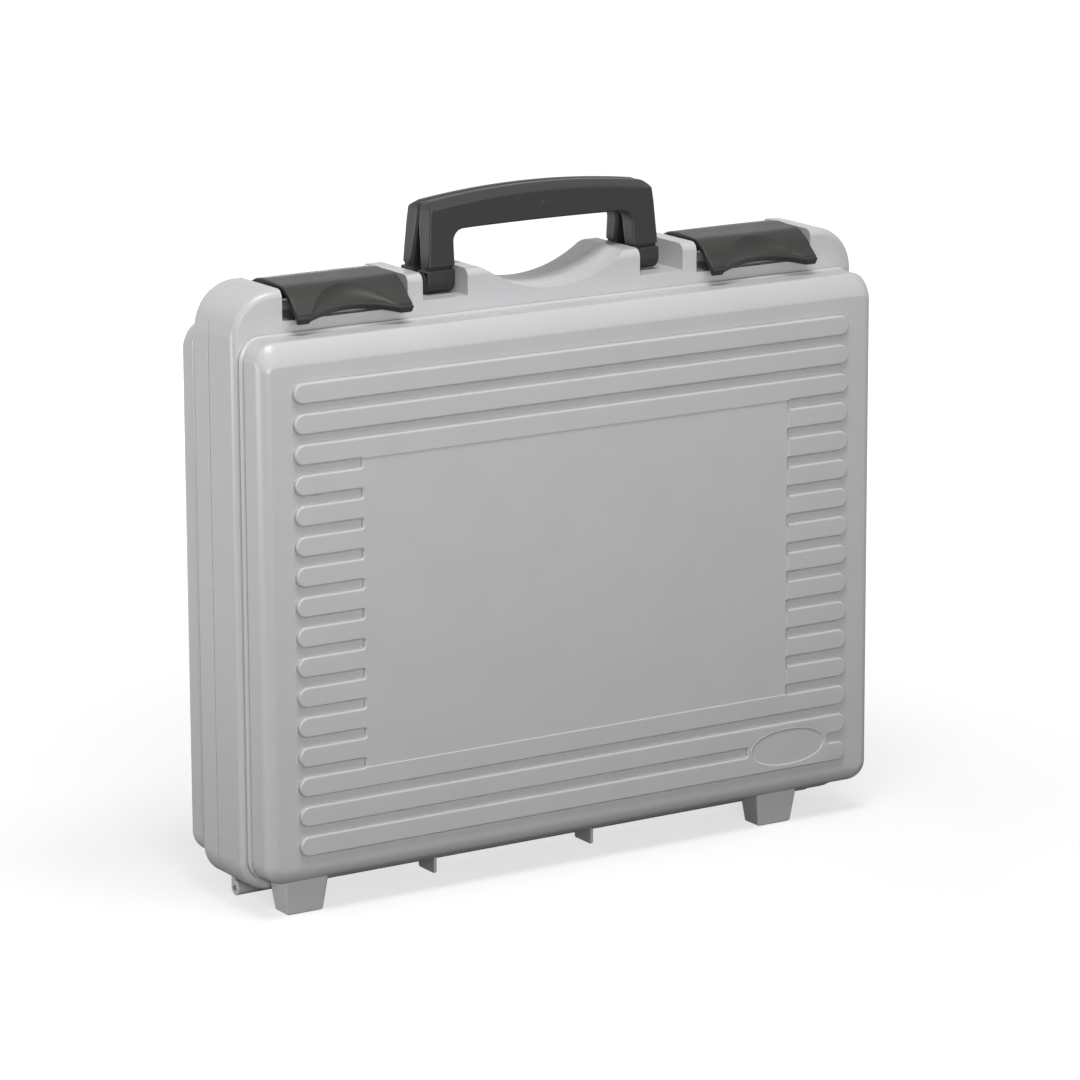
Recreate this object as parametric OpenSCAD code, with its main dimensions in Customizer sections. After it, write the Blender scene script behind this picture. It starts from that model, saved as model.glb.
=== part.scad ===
// Hard transit case: two ribbed shells hinged along the bottom, two folding handles
// that meet over a scooped rim, and two latches over notches in the top rim.
// The case stands upright on its feet. X runs along its width, the front faces -Y
// and +Z is up. The origin is on the ground, under the middle of the bounding box.

/* [Shells] */
// Width over the rim of the closed case
case_w = 388; // [350:2:420]
// Height of the rim, from its bottom edge to its top edge
rim_h = 318.7; // [288:0.1:350]
// Height of the rim's bottom edge above the ground
rim_lift = 9.8; // [9.8:0.1:12]
// Depth of the front rim, from the parting plane to its front face
front_rim = 27.6; // [26:0.2:32]
// Depth of the rear rim, from the parting plane to its back face
rear_rim = 16.4; // [16.4:0.2:22]
// How far the front block stands out of the front rim
front_block = 24; // [20:0.5:40]
// How far the rear block stands out of the rear rim
rear_block = 21.2; // [18:0.2:40]
// Radius of the rim's two upper corners, seen from the front
rim_top_r = 26; // [20:1:26]
// Radius of the rim's two lower corners, seen from the front
rim_bottom_r = 20; // [14:1:26]
// Rounding of the rim's front and back edges
rim_round = 4.5; // [2:0.5:6]
// Step in at each side from the rim to the block
block_side_in = 2.5; // [2:0.5:8]
// Step down from the rim's top to the block's top
block_top_in = 23.1; // [23.1:0.1:30]
// Step up from the rim's bottom to the block's bottom
block_bottom_in = 8.5; // [6:0.5:14]
// Radius of the block's corners, seen from the front
block_corner_r = 11; // [10:0.5:16]
// Rounding of the block's outer edge
block_round = 9.5; // [5:0.5:9.5]
// Height of the small shoulder at the block's root
shoulder_h = 4.5; // [2:0.5:6]
// How far the shoulder stands out of the block's sides
shoulder_out = 0.9; // [0.5:0.1:1.5]
// Thickness of the shells' walls
wall = 3.2; // [2.4:0.2:3.6]
// Gap between the two shells at the parting plane
parting_gap = 0.3; // [0.2:0.05:0.6]

/* [Locating lip] */
// How far the rear shell's lip reaches into the front shell
lip_reach = 3.7; // [2:0.1:4.5]
// Thickness of the lip
lip_t = 2; // [1.5:0.1:2.4]
// Clearance between the lip and the front shell
lip_clear = 0.4; // [0.3:0.05:0.6]
// Height of the lip's lower ends above the ground
lip_start = 46; // [44:1:120]

/* [Ribs and panel] */
// Gap between neighbouring ribs
rib_gap = 5.1; // [4:0.1:7]
// Height of the ribs above the block's face
rib_relief = 2; // [1:0.1:3]
// Rounding of the ribs' top edges
rib_round = 1.4; // [0.4:0.1:1.6]
// Distance of the ribs' ends from the block's sides
rib_end_in = 17.65; // [15.5:0.05:26]
// Number of ribs from the bottom to the top
rib_count = 16; // [14:1:16]
// Height of the lowest rib's lower edge above the block's bottom
rib_margin = 15; // [12:0.5:24]
// Height of the block's top above the highest rib's upper edge
rib_margin_top = 21.2; // [12:0.1:30]
// Number of full ribs above the panel, and again below it
full_ribs = 3; // [2:1:4]
// Length of a short rib beside the plain panel
short_rib = 39.7; // [30:0.1:70]
// How much lower the panel is than the ribs
panel_drop = 0.5; // [0.2:0.1:0.8]
// Distance of the blank oval's middle to the right of the panel's edge
oval_out = 1.35; // [-20:0.05:4]
// How far the oval's middle is below the middle of its gap between the ribs
oval_drop = 0.6; // [0:0.1:1]
// Width of the blank oval
oval_w = 48.6; // [40:0.2:52]
// Height of the blank oval
oval_h = 19.2; // [16:0.2:20]
// Width of the rim around the oval
oval_rim = 1.7; // [1:0.1:2.5]
// Depth of the oval's face below its rim
oval_sink = 0.4; // [0.2:0.1:0.8]

/* [Handle seats] */
// Distance of a handle notch's inner wall from the middle
seat_in = 54; // [52:0.5:56]
// Width of a handle notch
seat_w = 27.5; // [26:0.5:28]
// Depth of a handle notch below the rim's top
seat_deep = 14.3; // [14.3:0.1:15]
// Radius of the scoop under the grip
scoop_r = 72; // [68:1:80]
// Depth of the scoop below the rim's top
scoop_deep = 15.2; // [10:0.2:16]
// Height of the handles' pivots below the rim's top
pivot_down = 7.2; // [7:0.1:7.4]
// Distance of the front handle's pivot in front of the parting plane
pivot_front = 11.8; // [11.5:0.1:12.5]
// Radius of the pegs that the handles turn on
peg_r = 3.3; // [2.5:0.1:3.3]
// Length of a peg
peg_len = 11; // [8:0.5:12]

/* [Handles] */
// Distance of the handles' meeting plane in front of the parting plane
meet_front = 4.1; // [4:0.1:4.5]
// Gap between the two handles where they meet
meet_gap = 0.4; // [0.3:0.1:1]
// Radius of the handles' barrels
barrel_r = 6.5; // [6:0.1:6.5]
// Length of one barrel
barrel_len = 19; // [14:0.5:20]
// Clearance between a barrel and the notch's inner wall
barrel_side_gap = 0.6; // [0.4:0.1:1]
// Radial clearance of a barrel on its peg
barrel_clear = 0.05; // [0.03:0.01:0.1]
// Width over the two legs where they leave the barrels
leg_span_low = 145.2; // [140:0.2:146]
// Width over the two legs at the top
leg_span_high = 139.6; // [134:0.2:146]
// Width of the opening between the legs
grip_w = 112.8; // [100:0.2:114]
// Height of the opening's top above the pivots
grip_clear = 26.4; // [20:0.2:40]
// Thickness of the grip at its middle, bottom to top
grip_t = 19.3; // [14:0.1:24]
// Rise of the grip's top from its ends to its middle
grip_crown = 4.1; // [2:0.1:6]
// Rounding of the handle's upper corners, seen from the front
handle_corner_r = 7; // [4:0.5:8]
// Depth of one grip, front to back
grip_depth = 11.3; // [9:0.1:12]
// Depth of one leg at its foot
leg_depth = 9.6; // [7:0.1:10]
// Height of the bevel along the grip's outer top edge
bevel_h = 3.6; // [1:0.1:5]
// Depth of that bevel
bevel_d = 5.6; // [2:0.1:7]

/* [Latches] */
// Width of the wall between a handle notch and a latch notch
seat_gap = 9; // [8:0.5:12]
// Distance of a latch notch's outer wall from the case's side
notch_side_in = 28.5; // [28:0.5:34]
// Depth of a latch notch in the front rim, below the rim's top
notch_deep = 16.5; // [16.4:0.1:17]
// Depth of a latch notch in the rear rim, below the rim's top
notch_rear_deep = 12.4; // [12.4:0.1:13]
// Rounding of the front notch's front edge
notch_round = 3; // [2:0.5:4]
// Gap between a latch and each side wall of its notch
latch_side_gap = 3.25; // [3:0.05:6]
// Thickness of the latch's walls
latch_t = 3; // [2:0.2:3.4]
// Distance of the latch's pivot behind the parting plane
latch_back = 6.5; // [6.5:0.1:7.5]
// Depth of the latch's pivot below the rim's top
latch_down = 5.5; // [5:0.1:5.6]
// Radius of the latch's barrel
hub_r = 6.3; // [5:0.1:6.3]
// Radius of the latch's pivot pin
latch_pin_r = 1.5; // [1:0.1:2]
// Radial clearance of the latch on its pin
latch_pin_clear = 0.05; // [0.03:0.01:0.1]
// Depth that the pin's ends reach into the notch's side walls
latch_pin_seat = 4; // [2:0.5:5]
// How far the lip's edge stands in front of the rim's front face
lip_out = 12; // [11:0.1:13]
// Depth of the lip's lower corners below the rim's top
lip_drop = 17.3; // [16.6:0.1:17.4]
// Height of the lip's front face at its corners
lip_h = 4.8; // [3.5:0.1:6]
// Distance from the lip's edge back to the bend between the lip and the slope
bend_back = 9.2; // [8.5:0.1:10]
// Height of that bend above the lip's lower corners
bend_up = 12.3; // [11.5:0.1:13]
// Distance from the lip's edge back to the front of the latch's top
top_start = 17.6; // [16:0.1:19]
// Rise of the latch's top above the rim, at its front
top_rise = 0.5; // [0.3:0.1:1.5]
// Rise of the lip's lower edge from its ends to its middle
lip_rise = 5; // [2:0.5:7]
// How far the lip's front edge is drawn back at its middle
lip_draw = 5; // [2:0.5:6]
// Width of the straight part at each end of the lip
lip_end_w = 6.25; // [4:0.25:12]
// Height of the catch ridge on the front notch's floor
catch_h = 1.2; // [0.6:0.1:1.4]
// Gap between the latch's tooth and the notch's floor
tooth_gap = 1.6; // [1.5:0.1:2.5]

/* [Feet and hinge] */
// Width of a foot at the ground
foot_w = 19.4; // [14:0.2:26]
// Depth of a front foot at the ground
foot_d = 17.4; // [12:0.2:18]
// Depth of a rear foot at the ground
rear_foot_d = 13.9; // [10:0.1:14]
// Distance of a foot from the block's face
foot_in = 6.2; // [4:0.2:8]
// How much wider a foot is at its top than at the ground
foot_flare = 5; // [0:0.5:8]
// Distance of the outer foot's middle from the case's side
foot_far_in = 26.7; // [26:0.1:34]
// Distance of the inner foot's middle from the case's side
foot_near_in = 62.1; // [60:0.1:94]
// Radius of the hinge knuckles
knuckle_r = 4.1; // [3.6:0.1:4.1]
// Distance of the row of knuckles from the case's sides
hinge_in = 9.55; // [9:0.05:16]
// Number of long knuckles
knuckle_count = 14; // [10:2:14]
// Length of the short knuckle at the left end
short_knuckle = 10.5; // [6:0.5:12]
// Gap between neighbouring knuckles
knuckle_gap = 0.5; // [0.3:0.1:1]
// Gap between a knuckle and the other shell's rim
knuckle_clear = 0.4; // [0.4:0.05:0.8]
// Radius of the hinge pin
hinge_pin_r = 1.5; // [1:0.1:2]
// Radial clearance of the hinge pin in the knuckles
hinge_pin_clear = 0.05; // [0.03:0.01:0.1]
// Thickness of the two stop fins
fin_t = 1.8; // [1.2:0.2:3]
// Distance of the left fin from the middle
fin_left = 74; // [60:1:90]
// Distance of the right fin from the middle
fin_right = 26; // [10:1:60]
// Length of a fin from front to back
fin_len = 16.5; // [10:0.5:18]

/* [Hidden] */
$fn = 96;

// Planes along the depth. The two rib faces are equally far from the origin.
front_total = front_rim + front_block + rib_relief;
rear_total = rear_rim + rear_block + rib_relief;
parting_y = (front_total - rear_total) / 2;
front_rim_y = parting_y - front_rim;
front_face_y = front_rim_y - front_block;
rear_rim_y = parting_y + rear_rim;
rear_face_y = rear_rim_y + rear_block;

// Heights and half widths
rim_bottom = rim_lift;
rim_top = rim_lift + rim_h;
block_bottom = rim_bottom + block_bottom_in;
block_top = rim_top - block_top_in;
half_rim = case_w / 2;
half_block = half_rim - block_side_in;

// Spacing and width of the ribs
rib_pitch = (block_top - block_bottom - rib_margin - rib_margin_top + rib_gap) / rib_count;
rib_w = rib_pitch - rib_gap;

// Places along the width
rib_len = 2 * (half_block - rib_end_in);
panel_w = rib_len - 2 * short_rib;
oval_x = panel_w / 2 + oval_out;
notch_near = seat_in + seat_w + seat_gap;
notch_far = half_rim - notch_side_in;
notch_w = notch_far - notch_near;
latch_x = (notch_near + notch_far) / 2;
latch_w = notch_w - 2 * latch_side_gap;
lip_draw_w = latch_w - 2 * lip_end_w;
foot_far = half_rim - foot_far_in;
foot_near = half_rim - foot_near_in;

// The cavity is one wall inside the block, and wider inside the front rim,
// where it leaves room for the rear shell's lip.
cavity_round = 6;
cavity_top = rim_top - notch_deep - wall;
rim_cavity_half = half_rim - wall;
rim_cavity_bottom = rim_bottom + wall;
lip_half = rim_cavity_half - lip_clear;
lip_top = cavity_top - lip_clear;

// Hinge axis
hinge_z = rim_bottom - knuckle_clear - knuckle_r;
hinge_left = hinge_in - half_rim;
knuckle_len = (-2 * hinge_left - short_knuckle) / knuckle_count;

// Handle pivots: the rear handle mirrors the front one in the meeting plane
meet_y = parting_y - meet_front;
front_pivot_y = parting_y - pivot_front;
pivot_z = rim_top - pivot_down;

// Latch pivot, and the flat on its barrel that stops it when it is open: the flat is
// tilted as far as the latch turns past the vertical
latch_y = parting_y + latch_back;
latch_z = rim_top - latch_down;
lip_low = rim_top - lip_drop;
lip_front = front_rim_y - lip_out;
flat_tilt = 15;
flat_r = hub_r + 0.3;
flat_rise = 2;

cut = 1;

rear_shell();
front_shell();
front_handle();
rear_handle();
left_latch();
right_latch();
left_latch_pin();
right_latch_pin();
hinge_pin();

// Nodes

module rear_shell() {
    color([0.74, 0.75, 0.77])
    difference() {
        union() {
            rear_body();
            locating_lip();
            knuckles(0);
        }
        translate([0, parting_y, 0]) rim_notches(rear_rim, notch_rear_deep, false);
        latch_pin_bores();
        hinge_bore();
    }
    color([0.74, 0.75, 0.77]) handle_pegs(2 * meet_y - front_pivot_y);
}

module front_shell() {
    color([0.74, 0.75, 0.77])
    difference() {
        union() {
            front_body();
            knuckles(1);
            stop_fin(-fin_left);
            stop_fin(fin_right);
        }
        translate([0, front_rim_y, 0]) rim_notches(front_rim, notch_deep, true);
        hinge_bore();
    }
    color([0.74, 0.75, 0.77]) handle_pegs(front_pivot_y);
    color([0.74, 0.75, 0.77]) catch_ridges();
}

module front_handle() {
    color([0.16, 0.16, 0.17]) handle();
}

module rear_handle() {
    color([0.16, 0.16, 0.17])
    translate([0, 2 * meet_y, 0]) mirror([0, 1, 0]) handle();
}

module left_latch() {
    color([0.3, 0.29, 0.28]) translate([-latch_x, 0, 0]) latch();
}

module right_latch() {
    color([0.3, 0.29, 0.28]) translate([latch_x, 0, 0]) latch();
}

module left_latch_pin() {
    color([0.7, 0.7, 0.72]) latch_pin(-latch_x);
}

module right_latch_pin() {
    color([0.7, 0.7, 0.72]) latch_pin(latch_x);
}

module hinge_pin() {
    color([0.7, 0.7, 0.72])
    along_x(hinge_left, -hinge_left)
    translate([parting_y, hinge_z]) circle(hinge_pin_r);
}

// Placing helpers

// Extrudes a shape drawn in (y, z) from x0 to x1.
module along_x(x0, x1) {
    translate([x0, 0, 0]) rotate([90, 0, 90]) linear_extrude(x1 - x0) children();
}

// Extrudes a shape drawn in (x, z) from y0 to y1.
module along_y(y0, y1) {
    translate([0, y1, 0]) rotate([90, 0, 0]) linear_extrude(y1 - y0) children();
}

// Repeats its children on the other side of the middle.
module both_sides() {
    children();
    mirror([1, 0, 0]) children();
}

// Radius of the circle that rises by h over half a chord c.
function rise_radius(h, c) = (c * c + h * h) / (2 * h);

// Slabs with one rounded face

// Section of a slab's edge: the corner at (r, 0) is rounded by f.
module edge_section(r, depth, f) {
    translate([0, f]) square([r, depth - f]);
    square([r - f, f]);
    intersection() {
        translate([r - f, f]) circle(f);
        translate([r - f, 0]) square([f, f]);
    }
}

// Slab from z_lo to z_hi whose face at y = 0 has edges rounded by f. It is depth deep.
module slab(half_w, z_lo, z_hi, r_lo, r_hi, depth, f) {
    side = max(r_lo, r_hi);
    translate([side - half_w, 0, z_lo + r_lo])
    cube([2 * (half_w - side), depth, z_hi - r_hi - z_lo - r_lo]);
    both_sides() {
        translate([half_w - side, 0, z_lo + r_lo])
        linear_extrude(z_hi - r_hi - z_lo - r_lo) edge_section(side, depth, f);
        translate([half_w - r_hi, 0, z_hi - r_hi])
        rotate([-90, 0, 0]) rotate_extrude() edge_section(r_hi, depth, f);
        translate([half_w - r_lo, 0, z_lo + r_lo])
        rotate([-90, 0, 0]) rotate_extrude() edge_section(r_lo, depth, f);
    }
    translate([r_hi - half_w, 0, z_hi - r_hi])
    rotate([90, 0, 90]) linear_extrude(2 * (half_w - r_hi))
    mirror([-1, 1, 0]) edge_section(r_hi, depth, f);
    translate([half_w - r_lo, 0, z_lo + r_lo])
    rotate([90, 0, 90]) mirror([0, 1, 0]) mirror([0, 0, 1])
    linear_extrude(2 * (half_w - r_lo))
    mirror([-1, 1, 0]) edge_section(r_lo, depth, f);
}

// Shell bodies

// Rim and block of one shell, drawn with the block's face at y = 0.
module shell_solid(rim_depth, block_depth) {
    translate([0, block_depth, 0])
    slab(half_rim, rim_bottom, rim_top, rim_bottom_r, rim_top_r,
        rim_depth - parting_gap / 2, rim_round);
    slab(half_block, block_bottom, block_top, block_corner_r, block_corner_r,
        block_depth + rim_round, block_round);
    translate([0, block_depth - shoulder_h, 0])
    slab(half_block + shoulder_out, block_bottom - shoulder_out, block_top + shoulder_out,
        block_corner_r + shoulder_out, block_corner_r + shoulder_out,
        shoulder_h + rim_round, shoulder_out);
}

// Cavity of one shell: the block's part, and the wider part inside the rim.
module shell_cavity(rim_depth, block_depth, rim_half, rim_lo, rim_hi) {
    translate([0, wall, 0])
    slab(half_block - wall, block_bottom + wall, block_top - wall,
        block_corner_r - wall, block_corner_r - wall,
        rim_depth + block_depth, cavity_round);
    translate([0, block_depth + wall, 0])
    slab(rim_half, rim_lo, rim_hi, rim_bottom_r - wall, block_corner_r,
        rim_depth, cavity_round);
}

// Hollow in the solid corner outside each latch notch, open at the parting plane.
module corner_pocket(rim_depth, block_depth) {
    inner = notch_far + wall;
    outer = half_rim - rim_top_r / 2;
    both_sides()
    translate([inner, block_depth + 2 * wall, cavity_top - cut])
    cube([outer - inner, rim_depth, rim_top - rim_top_r / 2 - cavity_top]);
}

module front_body() {
    translate([0, front_face_y, 0]) {
        difference() {
            shell_solid(front_rim, front_block);
            shell_cavity(front_rim, front_block, rim_cavity_half, rim_cavity_bottom,
                cavity_top);
            corner_pocket(front_rim, front_block);
        }
        rib_field();
        blank_oval();
    }
    foot(-foot_far, front_face_y + foot_in, foot_d);
    foot(foot_near, front_face_y + foot_in, foot_d);
}

// The rear body is drawn facing the front and then mirrored in depth.
module rear_body() {
    translate([0, rear_face_y, 0]) mirror([0, 1, 0])
    difference() {
        union() {
            shell_solid(rear_rim, rear_block);
            rib_field();
        }
        shell_cavity(rear_rim, rear_block, lip_half - lip_t, rim_cavity_bottom,
            lip_top - lip_t);
        corner_pocket(rear_rim, rear_block);
    }
    foot(foot_far, rear_face_y - foot_in - rear_foot_d, rear_foot_d);
    foot(-foot_near, rear_face_y - foot_in - rear_foot_d, rear_foot_d);
}

// A lip on the rear shell, along its sides and top, that reaches into the front shell.
module locating_lip() {
    lip_r = block_corner_r - lip_clear;
    low = lip_start + lip_r;
    along_y(parting_y - lip_reach, parting_y + 2)
    difference() {
        rounded_plate(lip_half, lip_start, lip_top, lip_r);
        rounded_plate(lip_half - lip_t, lip_start - lip_r, lip_top - lip_t, lip_r - lip_t);
        translate([-half_rim, lip_start - cut]) square([2 * half_rim, lip_r + cut]);
    }
}

// Plate outline with four corners of radius r.
module rounded_plate(half_w, z_lo, z_hi, r) {
    translate([-half_w, z_lo + r]) square([2 * half_w, z_hi - z_lo - 2 * r]);
    translate([r - half_w, z_lo]) square([2 * (half_w - r), z_hi - z_lo]);
    for (x = [r - half_w, half_w - r], z = [z_lo + r, z_hi - r])
        translate([x, z]) circle(r);
}

// Ribs, panel and oval

rib_bottom = block_bottom + rib_margin;
rib_root = 0.6;
panel_low = rib_bottom + (full_ribs - 1) * rib_pitch + rib_w;
panel_high = rib_bottom + (rib_count - full_ribs) * rib_pitch;

// Half of a rib's section: x across the rib, y from its root to its top.
module rib_half_section() {
    square([rib_w / 2 - rib_round, rib_root + rib_relief]);
    square([rib_w / 2, rib_root + rib_relief - rib_round]);
    intersection() {
        translate([rib_w / 2 - rib_round, rib_root + rib_relief - rib_round])
        circle(rib_round);
        translate([rib_w / 2 - rib_round, rib_root + rib_relief - rib_round])
        square([rib_round, rib_round]);
    }
}

// Round end of a rib, standing out towards -Y from its root.
module rib_end(x, z) {
    translate([x, rib_root, z]) rotate([90, 0, 0]) rotate_extrude() rib_half_section();
}

// Straight part of a rib from x0 to x1 whose middle is at height z.
module rib_bar(x0, x1, z) {
    translate([x0, rib_root, z]) rotate([90, 0, 90]) linear_extrude(x1 - x0)
    rotate(90) {
        rib_half_section();
        mirror([1, 0]) rib_half_section();
    }
}

module rib_field() {
    reach = rib_len / 2 - rib_w / 2;
    for (i = [0:rib_count - 1]) {
        z = rib_bottom + rib_w / 2 + i * rib_pitch;
        full = i < full_ribs || i >= rib_count - full_ribs;
        rib_end(-reach, z);
        rib_end(reach, z);
        if (full) {
            rib_bar(-reach, reach, z);
        } else {
            rib_bar(-reach, 1 - panel_w / 2, z);
            rib_bar(panel_w / 2 - 1, reach, z);
        }
    }
    translate([-panel_w / 2, panel_drop - rib_relief, panel_low - cut])
    cube([panel_w, rib_relief - panel_drop + rib_root, panel_high - panel_low + 2 * cut]);
}

// Oval outline of half width a and half height b, from two end circles and two flat arcs.
module oval(a, b) {
    end_r = 0.62 * b;
    k = a - end_r;
    side_r = (k * k + b * b - end_r * end_r) / (2 * (b - end_r));
    join_x = k * side_r / (side_r - end_r);
    for (s = [-1, 1]) translate([s * k, 0]) circle(end_r);
    intersection() {
        translate([0, b - side_r]) circle(side_r, $fn = 360);
        translate([0, side_r - b]) circle(side_r, $fn = 360);
        translate([-join_x, -b]) square([2 * join_x, 2 * b]);
    }
}

// A bare oval between the two lowest ribs, sunk into a rim as high as the ribs.
module blank_oval() {
    z = rib_bottom + (rib_pitch + rib_w) / 2 - oval_drop;
    translate([oval_x, 0, z]) {
        difference() {
            along_y(-rib_relief, rib_root) oval(oval_w / 2 + oval_rim, oval_h / 2 + oval_rim);
            along_y(-rib_relief - cut, oval_sink - rib_relief) oval(oval_w / 2, oval_h / 2);
        }
    }
}

// Rim notches

// Cuts in the top of one rim, from y = 0 to its depth: latch notches, handle notches, scoop.
module rim_notches(rim_depth, latch_deep, round_front) {
    y1 = rim_depth + lip_reach + cut;
    both_sides() {
        along_y(-lip_reach - cut, y1)
        translate([seat_in, rim_top - seat_deep]) square([seat_w, seat_deep + cut]);
        along_y(-lip_reach - cut, y1)
        translate([notch_near, rim_top - latch_deep])
        square([notch_w, latch_deep + cut]);
        if (round_front)
            translate([latch_x, 0, rim_top - latch_deep]) notch_front_edge();
    }
    along_y(-lip_reach - cut, y1)
    translate([0, rim_top - scoop_deep + scoop_r]) circle(scoop_r, $fn = 240);
}

// Rounds the front edge of a latch notch's floor.
module notch_front_edge() {
    along_x(-notch_w / 2, notch_w / 2)
    difference() {
        translate([-cut, -notch_round]) square([notch_round + cut, notch_round + cut]);
        translate([notch_round, -notch_round]) circle(notch_round);
    }
}

// Ridges on the floors of the front latch notches.
module catch_ridges() {
    ridge_y = front_rim_y + 7;
    floor_z = rim_top - notch_deep;
    for (x = [-latch_x, latch_x])
        along_x(x - latch_w / 4, x + latch_w / 4)
        polygon([
            [ridge_y, floor_z - cut], [ridge_y, floor_z + catch_h],
            [ridge_y + 1.5, floor_z + catch_h], [ridge_y + 5, floor_z - cut],
        ]);
}

// Pegs on the inner walls of the handle notches, at depth y.
module handle_pegs(y) {
    both_sides()
    along_x(seat_in - 6, seat_in + peg_len) translate([y, pivot_z]) circle(peg_r);
}

// Handles

module handle() {
    crown_r = rise_radius(grip_crown, leg_span_high / 2 - handle_corner_r);
    crown_z = pivot_z + grip_clear + grip_t - crown_r;
    difference() {
        union() {
            intersection() {
                along_y(front_pivot_y - 2 * barrel_r, meet_y) handle_outline();
                along_x(-leg_span_low, leg_span_low) handle_side();
            }
            both_sides()
            along_x(seat_in + barrel_side_gap, seat_in + barrel_side_gap + barrel_len)
            translate([front_pivot_y, pivot_z]) circle(barrel_r);
        }
        translate([0, 0, crown_z]) rotate([90, 0, 0]) grip_bevel(crown_r);
        both_sides()
        along_x(seat_in - cut, seat_in + peg_len + 1)
        translate([front_pivot_y, pivot_z]) circle(peg_r + barrel_clear);
    }
}

// Front view of a handle: tapered legs, a crowned top and the finger opening.
module handle_outline() {
    low = leg_span_low / 2;
    high = leg_span_high / 2;
    leg_foot = pivot_z - barrel_r + 2;
    top_z = pivot_z + grip_clear + grip_t;
    crown_half = high - handle_corner_r;
    crown_r = rise_radius(grip_crown, crown_half);
    corner_z = top_z - grip_crown - handle_corner_r;
    last = 70;
    shoulder = [for (a = [0:14:last])
        [crown_half + handle_corner_r * cos(a), corner_z + handle_corner_r * sin(a)]];
    over = shoulder[5] + handle_corner_r * [-sin(last), cos(last)];
    side = concat([[low, leg_foot]], shoulder, [over, [0, top_z + grip_crown]]);
    difference() {
        intersection() {
            union() {
                polygon(concat(side, [[0, leg_foot]]));
                mirror([1, 0]) polygon(concat(side, [[0, leg_foot]]));
            }
            translate([0, top_z - crown_r]) circle(crown_r, $fn = 720);
        }
        finger_opening(leg_foot);
    }
}

module finger_opening(leg_foot) {
    opening_r = 6;
    half = grip_w / 2;
    top = pivot_z + grip_clear;
    translate([-half, leg_foot - cut]) square([2 * half, top - opening_r - leg_foot + cut]);
    translate([opening_r - half, leg_foot]) square([2 * (half - opening_r), top - leg_foot]);
    for (s = [-1, 1]) translate([s * (half - opening_r), top - opening_r]) circle(opening_r);
}

// Side view of a handle: it leans towards the meeting plane and thickens at the grip.
module handle_side() {
    foot_y = front_pivot_y - barrel_r - 0.4;
    back = meet_y - meet_gap / 2;
    top = pivot_z + grip_clear + grip_t + cut;
    polygon([
        [foot_y, pivot_z + 4.8], [back - grip_depth, top], [back, top],
        [back, pivot_z + grip_clear + 4], [foot_y + leg_depth, pivot_z + 4.8],
        [foot_y + leg_depth - 1, pivot_z - barrel_r + 2], [front_pivot_y - 3, pivot_z - barrel_r + 2],
        [front_pivot_y - barrel_r + 0.5, pivot_z + 3.4],
    ]);
}

// Ring that cuts the bevel along the crowned front edge of the grip.
module grip_bevel(crown_r) {
    front = -(meet_y - meet_gap / 2 - grip_depth);
    over = 2;
    back = front - bevel_d * (bevel_h + over) / bevel_h;
    rotate_extrude($fn = 720)
    polygon([
        [crown_r - bevel_h, front], [crown_r + over, back], [crown_r + 8, back],
        [crown_r + 8, front + 6], [crown_r - bevel_h - 1.5, front + 6],
    ]);
}

// Latches

// One latch, drawn about x = 0: a bent plate with a barrel at its back, a lip that
// flares out over the block, and a tooth behind the lip.
module latch() {
    arch_r = rise_radius(lip_rise, latch_w / 2);
    draw_r = rise_radius(lip_draw, lip_draw_w / 2);
    difference() {
        along_x(-latch_w / 2, latch_w / 2) latch_side();
        along_y(lip_front - cut, lip_front + bend_back)
        translate([0, lip_low + lip_rise - arch_r]) circle(arch_r, $fn = 240);
        translate([0, lip_front + lip_draw - draw_r, lip_low - cut])
        cylinder(r = draw_r, h = bend_up + 2 * cut, $fn = 240);
        along_x(-latch_w, latch_w)
        translate([latch_y, latch_z]) circle(latch_pin_r + latch_pin_clear);
    }
    tooth();
}

// Side view of a latch in (y, z). Its inner points are set in from the outer ones by
// the wall's thickness, along the slope there.
module latch_side() {
    hub = [latch_y, latch_z];
    flat = hub + flat_r * [cos(flat_tilt), sin(flat_tilt)];
    heel = flat + flat_rise * [-sin(flat_tilt), cos(flat_tilt)];
    lip = [lip_front, lip_low];
    inner_lip = lip + [0.8 * latch_t, 0];
    slope = lip + [0.7 * bend_back, 0.73 * bend_up];
    bend = lip + [bend_back, bend_up];
    top_front = [lip_front + top_start, rim_top + top_rise];
    top_back = [parting_y - 2.8, rim_top + top_rise + 1.2];
    polygon([
        lip, lip + [0, lip_h], slope, bend, top_front, top_back, heel, flat, hub,
        hub + [0.6 - hub_r, 1.6], top_back - [1, latch_t],
        top_front + latch_t * [0.33, -1], bend + latch_t * [0.73, -0.87],
        slope + latch_t * [0.67, -1.1], inner_lip + [0, 2], inner_lip,
    ]);
    translate(hub) circle(hub_r);
}

// The tooth stands in front of the catch ridge and ends just above the path on which
// the front shell swings open.
module tooth() {
    tooth_z = rim_top - notch_deep + tooth_gap;
    y0 = front_rim_y + 3;
    along_x(-latch_w / 4, latch_w / 4)
    polygon([
        [y0, tooth_z + 1], [y0 + 0.8, tooth_z], [y0 + 2, tooth_z],
        [y0 + 3.4, rim_top - 1.5], [y0 + 0.4, rim_top - 2.5],
    ]);
}

module latch_pin(x) {
    reach = notch_w / 2 + latch_pin_seat - 0.3;
    along_x(x - reach, x + reach) translate([latch_y, latch_z]) circle(latch_pin_r);
}

// Blind bores for the latch pins in the side walls of the rear latch notches.
module latch_pin_bores() {
    reach = notch_w / 2 + latch_pin_seat;
    for (x = [-latch_x, latch_x])
        along_x(x - reach, x + reach) translate([latch_y, latch_z]) circle(latch_pin_r);
}

// Feet, fins and hinge

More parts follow.
